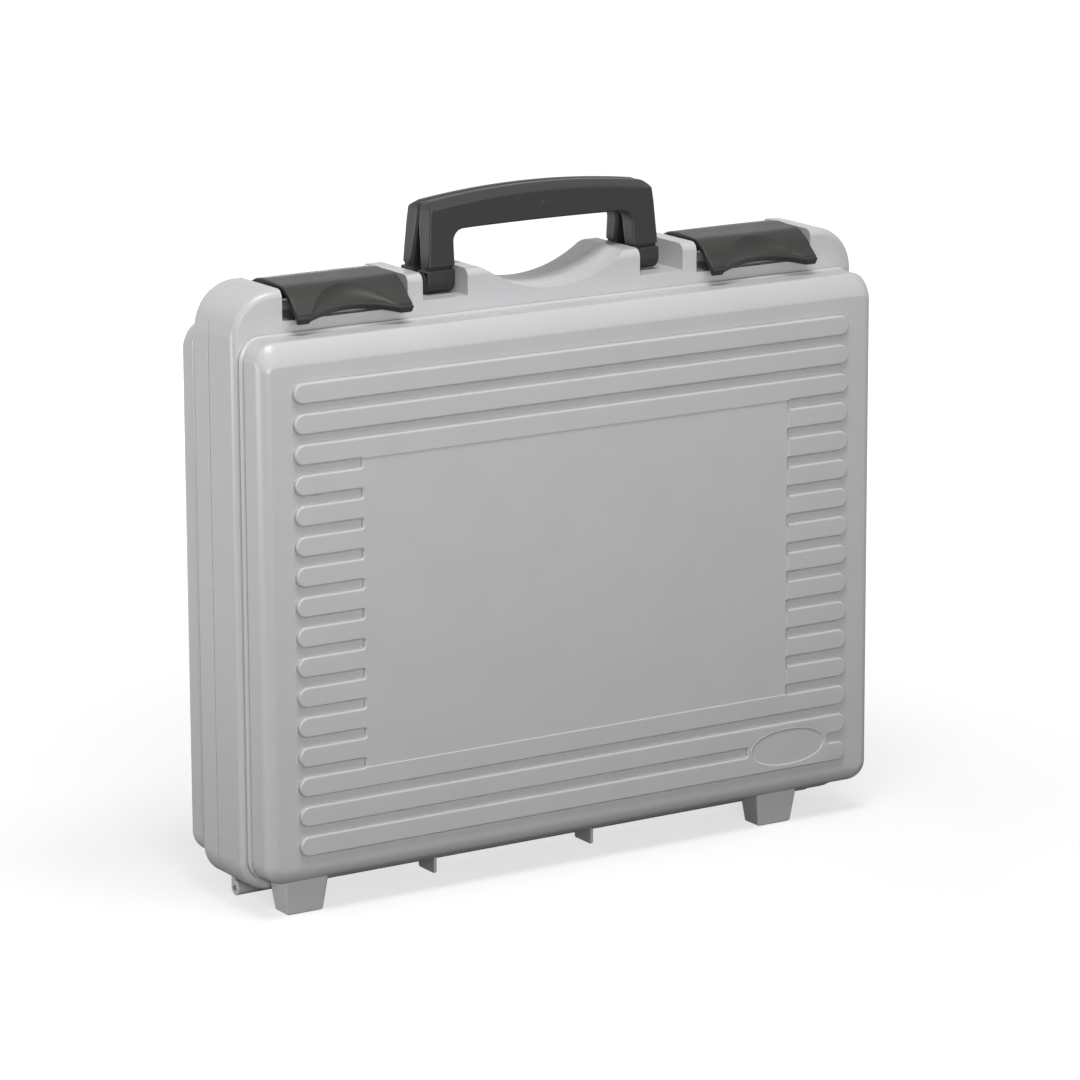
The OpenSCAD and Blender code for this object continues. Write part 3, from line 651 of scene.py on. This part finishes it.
def notch_cutter(rim, latch_floor):
    """The cut through a rim's top: scoop, handle seats, latch notches and the shallow
    pockets beside them."""
    b = Build()
    past = 2.0
    high = TOP + 8

    def prism(outline, end=rim + past):
        b.solid([to_xz(q)(outline) for q in (-past, end)])

    for s in (-1, 1):
        for x0, x1, floor in ((SEAT_IN, SEAT_OUT, SEAT_FLOOR), (NOTCH_IN, NOTCH_OUT, latch_floor)):
            xs = sorted((s * x0, s * x1))
            prism(np.array([(xs[0], floor), (xs[1], floor), (xs[1], high), (xs[0], high)]))

    # The scoop is a wide V with a round bottom and round shoulders. It starts a little
    # above the rim's top, where the rest of its outline is left out.
    half, slope, lift, far = 45.0, math.radians(34.5), 0.04, 60
    bottom_r, shoulder_r = 74.5, 9.9
    level = TOP + lift
    outline, _ = rounded([(-far, level), (-half, level), (0, level - half * math.tan(slope)),
                          (half, level), (far, level), (far, high), (-far, high)],
                         [0, shoulder_r, bottom_r, shoulder_r, 0, 0, 0], 2.0)
    outline = outline[(np.abs(outline[:, 0]) < far - 1) & (outline[:, 1] < TOP + 1)]
    outline = outline[np.argsort(outline[:, 0])]
    end = half + shoulder_r * math.tan(slope / 2) + 1.5
    prism(np.r_[outline, [(end, high), (-end, high)]])

    for s in (-1, 1):
        x0, x1 = sorted((s * POCKET_IN, s * POCKET_OUT))
        prism(box_outline(x0, x1, POCKET_LOW, POCKET_HIGH, 2.0, 15), rim - POCKET_BACK)
    return b.object("cutter")


def soften_notches(o):
    """Rounds the edges that the notches and the scoop leave in the rim, less at the
    parting face."""
    width, face_share = 1.2, 0.35
    low, corner = 311, 30  # the lowest and the bluntest edge that is rounded
    with Edit(o.data) as bm:
        bmesh.ops.remove_doubles(bm, verts=bm.verts, dist=SEAM_WELD)
        layers = bm.edges.layers.float
        layer = layers.get("bevel_weight_edge") or layers.new("bevel_weight_edge")
        for e in bm.edges:
            if len(e.link_faces) != 2:
                continue
            mid = (e.verts[0].co + e.verts[1].co) / 2 / MM
            angle = math.degrees(e.calc_face_angle(0))
            if mid.z > low and abs(mid.x) < NOTCH_OUT + 1 and angle > corner:
                e[layer] = 1.0 if mid.y > 1.0 else face_share
    m = o.modifiers.new("soften", "BEVEL")
    m.limit_method = "WEIGHT"
    m.width = width * MM
    m.segments = 4
    m.use_clamp_overlap = True
    m.miter_outer = "MITER_SHARP"
    applied(o)


def shell(name, sign, rim, edge, groove, block, latch_floor, cavity, with_oval):
    """One half of the case. sign is -1 for the front."""
    b = Build()
    outer = outer_rings(rim, edge, groove, block)
    ids = b.cup(outer)
    ids_in = b.cup(inner_rings(rim, block, *cavity))
    b.bridge(ids[0], ids_in[0])
    body = b.object(name)
    subtract(body, notch_cutter(rim, latch_floor))
    soften_notches(body)

    # The plain face gives way to the ribbed one.
    face_q = rim + block
    with Edit(body.data) as bm:
        flat = [f for f in bm.faces
                if all(abs(v.co.y / MM - face_q) < ON_FACE for v in f.verts)]
        bmesh.ops.delete(bm, geom=flat, context="FACES_ONLY")
    face = Build()
    face_panel(face, outer[-1], face_q, with_oval)
    joined = join([body, face.object("face")], name)
    set_depths(joined, PARTING_Y, sign)
    with Edit(joined.data) as bm:
        bmesh.ops.remove_doubles(bm, verts=bm.verts, dist=SEAM_WELD)
        bmesh.ops.recalc_face_normals(bm, faces=bm.faces)
    return joined


# Small bodies

# A foot's half width and how far its ends are set back, each at its bottom, and how
# much both grow up to its root at height FOOT_ROOT. Its profile is height and inset.
FOOT_ROOT = 19.3
FOOT_HALF, FOOT_FLARE = 10.8, 2.5
FOOT_SET, FOOT_LEAN = 1.6, 2.2
FOOT_PROFILE = ((0.0, 1.1), (0.12, 0.6), (0.45, 0.2), (1.1, 0.0), (10.0, 0.0), (21.0, 0.0))

# Where the front feet stand (the rear ones are in the same places seen from behind),
# and the first depth and the length of a front and of a rear foot
FOOT_X = (-166.2, 133.0)
FRONT_FOOT, REAR_FOOT = (-38.4, 17.4), (24.5, 13.9)

# The hinge's knuckles, of which the first is short, and the webs that hold them
KNUCKLES, KNUCKLE_R, KNUCKLE_LEN, SHORT_KNUCKLE, KNUCKLE_GAP = 15, 4.1, 25.6, 10.5, 0.5
HINGE_BORE, WEB_TOP, WEB_GAP = 1.55, 12.2, 0.15

# The handles' pegs, the fins, and half the length of the latches' ridges and teeth
PEG_R, PEG_IN, PEG_OUT = 3.3, 50.0, 65.0
FIN_X, FIN_T = (-74.0, 26.0), 1.8
CATCH_HALF = 17.1


def along_x(u, v, t):
    return np.c_[t, u, v]


def along_y(u, v, t):
    return np.c_[u, t, v]


def soft_prism(name, outline, normals, t0, t1, r, place=along_x, hole=None, segments=3):
    """Outline pushed from t0 to t1 with its end edges rounded by r. place(u, v, t) gives
    points in space. A hole, if given, runs right through."""
    b = Build()
    steps = quarter(r, segments)
    levels = [(t0 + e, d) for d, e in steps] + [(t1 - e, d) for d, e in reversed(steps)]

    def at(p, t):
        return place(p[:, 0], p[:, 1], np.full(len(p), t))

    b.tube([at(outline - normals * d, t) for t, d in levels])
    for t, d in (levels[0], levels[-1]):
        b.fill(outline - normals * d, [] if hole is None else [hole], lambda p, t=t: at(p, t))
    if hole is not None:
        b.tube([at(hole, t) for t in (t0, t1)])
    return b.object(name)


def foot(x, y, depth):
    """A foot that takes up the depths from y to y + depth, less what it is set back."""
    b = Build()
    rings = []
    for z, d in FOOT_PROFILE:
        half = FOOT_HALF + FOOT_FLARE * z / FOOT_ROOT - d
        lean = FOOT_LEAN * z / FOOT_ROOT - FOOT_SET
        outline = box_outline(x - half, x + half, y - lean + d, y + depth + lean - d,
                              max(1.7 - d, 0.4), 15)
        rings.append(np.c_[outline, np.full(len(outline), z)])
    b.solid(rings)
    return b.object("foot")


def knuckles(odd):
    """Every second knuckle of the hinge with its web: the odd ones are the front
    shell's, the even ones the rear shell's."""
    hole, _ = circle(PARTING_Y, HINGE_Z, HINGE_BORE, 24)
    a = np.radians(np.linspace(90, 360, 28))
    normals = np.c_[np.cos(a), np.sin(a)]
    pts = (PARTING_Y, HINGE_Z) + KNUCKLE_R * normals
    near, far = PARTING_Y + WEB_GAP, PARTING_Y + KNUCKLE_R
    pts[0] = (near, HINGE_Z + KNUCKLE_R)
    pts = np.r_[pts, [(far, WEB_TOP), (near, WEB_TOP)]]
    normals = np.r_[normals, [(1, 0), (-1, 0)]]
    normals[0] = (-1, 0)
    if odd:
        pts[:, 0] = 2 * PARTING_Y - pts[:, 0]
        normals[:, 0] *= -1
        pts, normals = pts[::-1], normals[::-1]
    parts = []
    for i in range(odd, KNUCKLES, 2):
        start = HINGE_LEFT if i == 0 else HINGE_LEFT + SHORT_KNUCKLE + (i - 1) * KNUCKLE_LEN
        end = HINGE_LEFT + SHORT_KNUCKLE + i * KNUCKLE_LEN
        parts.append(soft_prism(f"knuckle{i}", pts, normals, start + KNUCKLE_GAP / 2,
                                end - KNUCKLE_GAP / 2, 0.45, hole=hole))
    return parts


def pegs(y):
    """The two pegs at depth y that a handle turns on."""
    outline, normals = circle(y, PIVOT_Z, PEG_R, 48)
    return [soft_prism("peg", outline, normals, x0, x1, 0.6)
            for x0, x1 in ((-PEG_OUT, -PEG_IN), (PEG_IN, PEG_OUT))]


def fins():
    """The two thin fins under the front shell."""
    outline, normals = rounded([(-15.6, 0.5), (0.9, 0.5), (0.9, 12.0), (-15.6, 12.0)],
                               [1.5, 1.5, 0.3, 0.3])
    return [soft_prism("fin", outline, normals, x - FIN_T / 2, x + FIN_T / 2, 0.5)
            for x in FIN_X]


def ridges():
    """The ridges that the latches' teeth hold."""
    outline, normals = rounded([(-13.6, 311.0), (-8.6, 311.0), (-12.1, 313.2), (-13.6, 313.2)],
                               [0, 0, 0.5, 0.4])
    return [soft_prism("ridge", outline, normals, x - CATCH_HALF, x + CATCH_HALF, 0.3)
            for x in (-LATCH_X, LATCH_X)]


def locating_lip():
    """The rear shell's lip, open at the bottom, that enters the front shell."""
    half, top, low, thick = 190.4, 308.4, 46, 2.0
    half_in, top_in = half - thick, top - thick
    outline, normals = rounded(
        [(half, low), (half, top), (-half, top), (-half, low), (-half_in, low),
         (-half_in, top_in), (half_in, top_in), (half_in, low)],
        [0.6, 10.6, 10.6, 0.6, 0.6, 8.6, 8.6, 0.6])
    return soft_prism("lip", outline, normals, 3.3, 9.5, 0.6, along_y)


# Handles

# Legs: their foot, and half the handle's width there, which tapers up to LEG_TOP
GRIP_TOP, OPENING_TOP, LEG_FOOT, LEG_TOP = 367.0, 347.7, 316.8, 362.9
OPENING_HALF, LEG_HALF, LEG_TAPER = 55.8, 72.6, 2.8

# The grip's crowned top is an arc that drops CROWN_DROP at CROWN_HALF, and the
# opening's top a slight arch.
CROWN_HALF, CROWN_DROP, CROWN_END = 62.8, 4.1, 69.2
ARCH_HALF, ARCH_RISE, ARCH_END = 50, 0.5, 44

# Heights where a leg steps out, and where the handle bends
BELOW_STEP, STEP, BEND = 328.6, 329.2, 351.7

# Depth of the front and of the back, by height
FRONT_DEPTHS = ((316.8, 327.0, BELOW_STEP, STEP, 369.0), (-7.8, -9.4, -9.9, -11.5, -8.6))
BACK_DEPTHS = ((316.8, 326.1, BEND, 369.0), (-3.1, -2.1, 2.7, 2.7))

# The front edge at the crown is a wide bevel: in from the side, and back from the front.
CROWN_BEVEL = ((4.5, 0.0), (3.85, 0.14), (3.15, 0.75), (1.85, 2.75), (0.6, 4.7), (0.14, 5.5),
               (0.0, 6.4))
FRONT_ROUND, BACK_ROUND = 1.3, 2.2

# The shallow round mark: centre, radius, and its profile
MARK_X, MARK_Z, MARK_R = 1.4, 355.6, 2.7
MARK_PROFILE = ((0.0, 0.0), (0.08, -0.1), (0.25, -0.2), (0.6, -0.24))

# The barrels that turn on the pegs
BARREL_IN, BARREL_OUT, BARREL_R, BARREL_BORE = 55.5, 72.7, 6.5, 3.35


def handle_outline():
    """Front view of a handle: points, outward normals, and how much each point belongs
    to the crowned top edge."""
    r = (CROWN_HALF * CROWN_HALF + CROWN_DROP * CROWN_DROP) / (2 * CROWN_DROP)
    crown = [(x, GRIP_TOP - r + math.sqrt(r * r - x * x))
             for x in np.linspace(CROWN_END, -CROWN_END, 41)]
    arch = [(x, OPENING_TOP + ARCH_RISE * (1 - (x / ARCH_HALF) ** 2))
            for x in np.linspace(-ARCH_END, ARCH_END, 9)]

    def leg(z):
        return LEG_HALF - LEG_TAPER * (z - LEG_FOOT) / (LEG_TOP - LEG_FOOT), z

    def mirrored(side):
        return [(-x, z) for x, z in side[::-1]]

    inner = [(OPENING_HALF, z) for z in (OPENING_TOP - 0.3, STEP, BELOW_STEP, LEG_FOOT)]
    outer = [leg(z) for z in (LEG_FOOT, BELOW_STEP, STEP, BEND)]
    pts = mirrored(outer)[-1:] + mirrored(inner) + arch + inner + outer + crown \
        + mirrored(outer)[:-1]
    inner_r, foot_r, crown_r = 6.5, 1.2, 5.0
    radii = [foot_r] + [foot_r, 0, 0, inner_r] + [0] * len(arch) + [inner_r, 0, 0, foot_r] \
        + [foot_r, 0, 0, 0] + [crown_r] + [0] * (len(crown) - 2) + [crown_r] + [0, 0, 0]
    outline, normals = rounded(pts, radii, 6.0)
    w = np.clip((normals[:, 1] - 0.1) / 0.88, 0, 1) * (outline[:, 1] > 352)
    return outline, normals, w * w * (3 - 2 * w)


def handle(name, mirrored):
    """The front handle, or the rear one, which is its mirror image but a little thinner."""
    outline, normals, crown = handle_outline()
    thinner = 1.0 if mirrored else 0.1

    def front(z):
        return np.interp(z, *FRONT_DEPTHS) + thinner

    def back(z):
        return np.interp(z, *BACK_DEPTHS)

    def ring(points, normals, depth, d, e):
        """Points moved in by d, e behind a depth that follows their height."""
        p = points - normals * d
        return np.c_[p[:, 0], depth(p[:, 1]) + e, p[:, 1]]

    rings = []
    for (d0, e0), (d1, e1) in zip(quarter(FRONT_ROUND, 6), CROWN_BEVEL):
        d = d0 * (1 - crown) + d1 * crown
        e = e0 * (1 - crown) + e1 * crown
        rings.append(ring(outline, normals, front, d[:, None], e))
    rings += [ring(outline, normals, back, d, -e) for d, e in reversed(quarter(BACK_ROUND, 4))]
    b = Build()
    b.tube(rings)
    disc, disc_normals = circle(MARK_X, MARK_Z, MARK_R, 36)
    b.cup([ring(disc, disc_normals, front, d, e) for d, e in MARK_PROFILE])
    for rim, depth, holes in ((rings[0], front, [disc]), (rings[-1], back, [])):
        flat = rim[:, [0, 2]]
        lines = []
        for z in (BELOW_STEP, STEP, BEND):
            at = sorted((p for p in flat if abs(p[1] - z) < 0.05), key=lambda p: p[0])
            lines += [(tuple(p), tuple(q)) for p, q in zip(at[::2], at[1::2])]
        b.fill(flat, holes, to_xz(lambda p, depth=depth: depth(p[:, 1])), lines)
    parts = [b.object(name)]

    hole, _ = circle(FRONT_PIVOT_Y, PIVOT_Z, BARREL_BORE)
    lower = [(FRONT_PIVOT_Y + BARREL_R * math.cos(t), PIVOT_Z + BARREL_R * math.sin(t))
             for t in np.radians(np.linspace(180, 375, 40))]
    barrel, barrel_normals = rounded(
        [(-11.1, 327.0)] + lower + [(0.6, 325.3), (-1.0, 327.0)],
        [0.9] + [0] * len(lower) + [1.0, 1.0])
    for x0, x1 in ((-BARREL_OUT, -BARREL_IN), (BARREL_IN, BARREL_OUT)):
        parts.append(soft_prism("barrel", barrel, barrel_normals, x0, x1, 1.1, hole=hole,
                                segments=5))
    whole = join(parts, name)
    if mirrored:
        set_depths(whole, 2 * MEET_Y, -1)
    return smooth(whole)


# Latches. A section's points are (y, z) from the lip's lowest front point.

LIP_Y, LIP_Z = -32.6, 311.2
LATCH_HALF, END_ROUND = 34.25, 0.9

# The plate's top from the lip backwards, and the radii of its corners
LATCH_TOP = ((0.0, 3.8), (6.44, 8.98), (9.2, 12.3), (17.6, 17.8), (36.8, 19.0), (46.0, 18.2))
LATCH_RADII = (0.0, 5.0, 5.0, 9.0, 9.0, 1.5)
PLATE_END = 50.6

# The hollow for the fingertip: half width, length, and the roundings of the lip
DISH_HALF, DISH_LEN = 27.5, 16.0
NOSE_R, HEEL_R = 1.05, 0.85

# The hub round the pin, with a flat end that is tilted
HUB_R, HUB_END, HUB_TILT = 6.3, 6.6, 15

# The underside behind the lip: its height by how far back it is, and where it has points
UNDER = ((2.4, 8.45, 11.4, 17.2), (2.0, 5.7, 9.7, 14.2))
UNDER_U = (17.2, 15.6, 14.0, 12.6, 11.4, 9.9)


def arc(centre, r, start, end, n):
    """n points of an arc from one angle to another, in degrees."""
    return [centre + r * np.array([math.cos(a), math.sin(a)])
            for a in np.radians(np.linspace(start, end, n))]


def latch_section(x, path, lengths):
    """Closed side section of a latch at x from its middle: a plate that ends in a lip,
    with a hollow for the fingertip behind the lip."""
    # c is 1 in the middle and 0 from the hollow's ends outwards. lip and low are the
    # lip's upper and lower corner, which lie farther back and higher where c is larger.
    c = max(0.0, 1 - (x / DISH_HALF) ** 2)
    step = min(1.0, 8 * c)
    w = min(1.0, 3 * c)
    lip = np.array([5.0 * c, 3.8 + 3.4 * c])
    low = np.array([5.0 * c + 1.4 + 1.2 * step, 3.7 * c])

    def at(s):
        return np.array([np.interp(s, lengths, path[:, k]) for k in (0, 1)])

    # Round the lip, over the hollow and along the plate
    s_dish = max(np.interp(DISH_LEN * c, path[:, 0], lengths), 1.9)
    edge = at(s_dish)
    pts = arc(low + (HEEL_R, HEEL_R), HEEL_R, 300, 192, 6)
    pts += arc(lip + (NOSE_R, -0.8), NOSE_R, 190, 84, 8)
    start = pts[-1]
    control = start + (edge - start) * (0.5 + 0.16 * w, 0.5 - 0.32 * w)
    hollow = [(1 - t) ** 2 * start + 2 * t * (1 - t) * control + t * t * edge
              for t in np.linspace(0, 1, 20)[1:]]
    pts += hollow
    pts += [at(s) for s in np.linspace(s_dish, lengths[-1], 22)[1:]]

    # Round the hub
    hub = np.array([LATCH_Y - LIP_Y, LATCH_Z - LIP_Z])
    tilt = math.radians(HUB_TILT)
    along = np.array([math.cos(tilt), math.sin(tilt)])
    up = np.array([-math.sin(tilt), math.cos(tilt)])
    flat = hub + HUB_END * along
    pts += [flat + up * 2.3 - along * 0.25, flat + up * 1.7, flat, flat - up * 0.5 - along * 0.1]
    pts += arc(hub, HUB_R, 5, -188, 22)

    # Back under the plate to the lip, always below the hollow
    pts += [hub + (-5.9, 2.6), (36.2, 16.1), (34.5, 15.9), (18.6, 14.8)]
    outer = np.array([start] + hollow)
    for u in (*UNDER_U, low[0] + 3.4):
        v = np.interp(u, *UNDER)
        if c > 0:
            v = min(v, np.interp(u, outer[:, 0], outer[:, 1]) - 1.5)
        pts.append((u, max(v, low[1] + 1.6)))
    pts += [low + (2.4, 1.4), low + (2.2, 0.5)]
    return np.array(pts) + (LIP_Y, LIP_Z)


def latch(name, cx):
    """A latch with its middle at cx, and the tooth under it."""
    # The plate's top is closed far below, so that only its upper corners get rounded.
    closed = [(0.0, -60.0), (52.0, -60.0), (52.0, 12.0), *LATCH_TOP[::-1]]
    outline, _ = rounded(closed, [0, 0, 3.0, *LATCH_RADII[::-1]], 6.0)
    start = int(np.argmin(np.linalg.norm(outline - LATCH_TOP[0], axis=1)))
    path = np.roll(outline, -start - 1, axis=0)[::-1]
    path = path[(path[:, 1] > 3.0) & (path[:, 0] <= PLATE_END)]
    lengths = np.r_[0, np.cumsum(np.linalg.norm(np.diff(path, axis=0), axis=1))]

    # Sections across the latch, closest at the hollow's ends. Those at the latch's ends
    # are drawn in by d.
    ends = [(-LATCH_HALF + e, d) for d, e in quarter(END_ROUND, 6)]
    inner = [-32.0, -30.0, -28.4, *np.linspace(-DISH_HALF, -26.0, 7), *np.linspace(-25, 0, 26)]
    inner += [-x for x in inner[-2::-1]]
    xs = ends + [(x, 0.0) for x in inner] + [(-x, d) for x, d in ends[::-1]]
    section_end = LATCH_HALF - 0.7
    rings = []
    for x, d in xs:
        p = latch_section(np.clip(x, -section_end, section_end), path, lengths)
        if d > 0:
            t = np.roll(p, -1, axis=0) - np.roll(p, 1, axis=0)
            n = np.c_[t[:, 1], -t[:, 0]] / np.maximum(np.linalg.norm(t, axis=1), 1e-6)[:, None]
            p = p + n * d
        rings.append(np.c_[np.full(len(p), cx + x), p])
    b = Build()
    b.solid(rings)
    plate = b.object(name)
    outline, normals = rounded([(-15.6, 313.6), (-14.2, 327.0), (-17.2, 326.0), (-17.6, 314.4),
                                (-16.9, 313.6)], [0.4, 0, 0, 0.3, 0.3])
    tooth = soft_prism("tooth", outline, normals, cx - CATCH_HALF, cx + CATCH_HALF, 0.4)
    return smooth(join([plate, tooth], name), 24.0)


# The pieces

def shell_pieces():
    """Both halves of the case, each with the small parts moulded on it."""
    front = [shell(**FRONT_SHELL)] + [foot(x, *FRONT_FOOT) for x in FOOT_X]
    front += knuckles(1) + fins() + pegs(FRONT_PIVOT_Y) + ridges()
    front = join(front, FRONT_SHELL["name"])
    rear = [shell(**REAR_SHELL)] + [foot(-x, *REAR_FOOT) for x in FOOT_X]
    rear += knuckles(0) + pegs(2 * MEET_Y - FRONT_PIVOT_Y) + [locating_lip()]
    rear = join(rear, REAR_SHELL["name"])
    return smooth(front), smooth(rear)


front_body, rear_body = shell_pieces()
front_grip = handle("front_handle_body", False)
rear_grip = handle("rear_handle_body", True)
left = latch("left_latch_body", -LATCH_X)
right = latch("right_latch_body", LATCH_X)
for piece, body, node, slot, material in (
        (front_body, "front_half", "front_shell", "shell", SHELL),
        (rear_body, "rear_half", "rear_shell", "shell", SHELL),
        (front_grip, "front_grip", "front_handle", "handle", HANDLE),
        (rear_grip, "rear_grip", "rear_handle", "handle", HANDLE),
        (left, "left_catch", "left_latch", "latch", LATCH),
        (right, "right_catch", "right_latch", "latch", LATCH)):
    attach(piece, body)
    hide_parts(node)
    piece.data.materials.clear()
    piece.data.materials.append(material)
for pin in ("left_latch_pin", "right_latch_pin", "hinge_pin"):
    for place in frame["nodes"][pin].material_slots:
        place.material = STEEL


# Stage, lights and camera. From here on lengths are metres.

FLOOR_HALF = 8
SKY_LIGHT = 0.16


def empty_nodes(owner):
    """The emptied node tree of a material or world."""
    owner.use_nodes = True
    owner.node_tree.nodes.clear()
    return Nodes(owner.node_tree)


def stage():
    """White floor. It looks white from the camera, and its glow is painted weaker near the case so
    that a soft shadow shows round it.
    It reflects white in glossy faces except near the case, where it is painted dark as shade, and
    throws back little light."""
    me = bpy.data.meshes.new("floor")
    far = FLOOR_HALF
    me.from_pydata([(-far, -far, 0), (far, -far, 0), (far, far, 0), (-far, far, 0)], [],
                   [(0, 1, 2, 3)])
    floor = placed("floor", me)
    m = bpy.data.materials.new("floor")
    n = empty_nodes(m)
    where = n.add("ShaderNodeNewGeometry").outputs["Position"]
    away = n.add("ShaderNodeVectorMath", {"operation": "LENGTH"}, i0=where).outputs["Value"]

    def diffuse(grey):
        return n.add("ShaderNodeBsdfDiffuse", Color=(grey, grey, grey, 1)).outputs[0]

    def glow(near, far, to_near, to_far):
        strength = n.ramp(away, near, far, to_near, to_far)
        return n.add("ShaderNodeEmission", Strength=strength).outputs[0]

    # Seen from the camera, the floor's glow is painted weaker near the case, so that the case's
    # shadow shows there.
    seen = n.add("ShaderNodeAddShader", i0=diffuse(0.42), i1=glow(0.25, 1.0, 0.66, 1.0)).outputs[0]
    # Painted shade: for glossy rays the floor is nearly black near the case, so the case's lower
    # faces reflect dark there.
    mirrored = glow(0.2, 0.8, 0.05, 1.0)
    rays = n.add("ShaderNodeLightPath").outputs
    direct = n.shaders(rays["Is Camera Ray"], diffuse(0.09), seen)
    n.add("ShaderNodeOutputMaterial", Surface=n.shaders(rays["Is Glossy Ray"], direct, mirrored))
    me.materials.append(m)


def world():
    """White for rays that show the background itself, dim for rays that carry its light."""
    w = bpy.data.worlds.new("world")
    bpy.context.scene.world = w
    n = empty_nodes(w)

    def background(strength):
        return n.add("ShaderNodeBackground", Color=(1, 1, 1, 1), Strength=strength).outputs[0]

    rays = n.add("ShaderNodeLightPath").outputs
    mirror = n.math("MAXIMUM", rays["Is Glossy Ray"], rays["Is Transmission Ray"])
    shown = n.math("MAXIMUM", rays["Is Camera Ray"], mirror)
    n.add("ShaderNodeOutputWorld",
          Surface=n.shaders(shown, background(SKY_LIGHT), background(1.0)))


def camera():
    """The camera that the photo was taken with, solved from the case's edges."""
    data = bpy.data.cameras.new("camera")
    cam = placed("camera", data)
    data.lens, data.sensor_width = 165.29, 36.0
    data.clip_start, data.clip_end = 0.1, 50
    place = Vector((-1.38861, -2.20050, 0.78390))
    right = Vector((0.84462271, -0.53534521, -0.00424181))
    down = Vector((-0.12611458, -0.19126024, -0.97340363))
    ahead = Vector((0.52029568, 0.82269376, -0.22905758))
    rows = [(right[i], -down[i], -ahead[i], place[i]) for i in range(3)]
    cam.matrix_world = Matrix((*rows, (0, 0, 0, 1)))
    bpy.context.scene.camera = cam


def softbox(name, place, aim, size, power):
    data = bpy.data.lights.new(name, "AREA")
    data.shape = "RECTANGLE"
    data.size, data.size_y = size
    data.energy = power
    lamp = placed(name, data)
    lamp.location = place
    lamp.rotation_euler = (Vector(aim) - Vector(place)).to_track_quat("-Z", "Y").to_euler()
    lamp.visible_camera = False


stage()
world()
camera()
softbox("front low", (-0.6, -1.5, 0.50), (0, 0, 0.2), (0.7, 0.5), 11.8)
softbox("front high", (-0.1, -0.40, 1.34), (0, 0, 0.25), (0.6, 0.4), 9.1)
softbox("left", (-1.25, 0.9, 0.20), (0, 0, 0.15), (0.6, 0.3), 3)
softbox("left low", (-1.4, 0.4, 0.14), (0, 0, 0.1), (0.9, 0.2), 5.4)
softbox("behind", (0.3, 1.6, 0.2), (0, 0, 0.2), (1.0, 0.25), 9)
bpy.context.scene.view_settings.view_transform = "Standard"
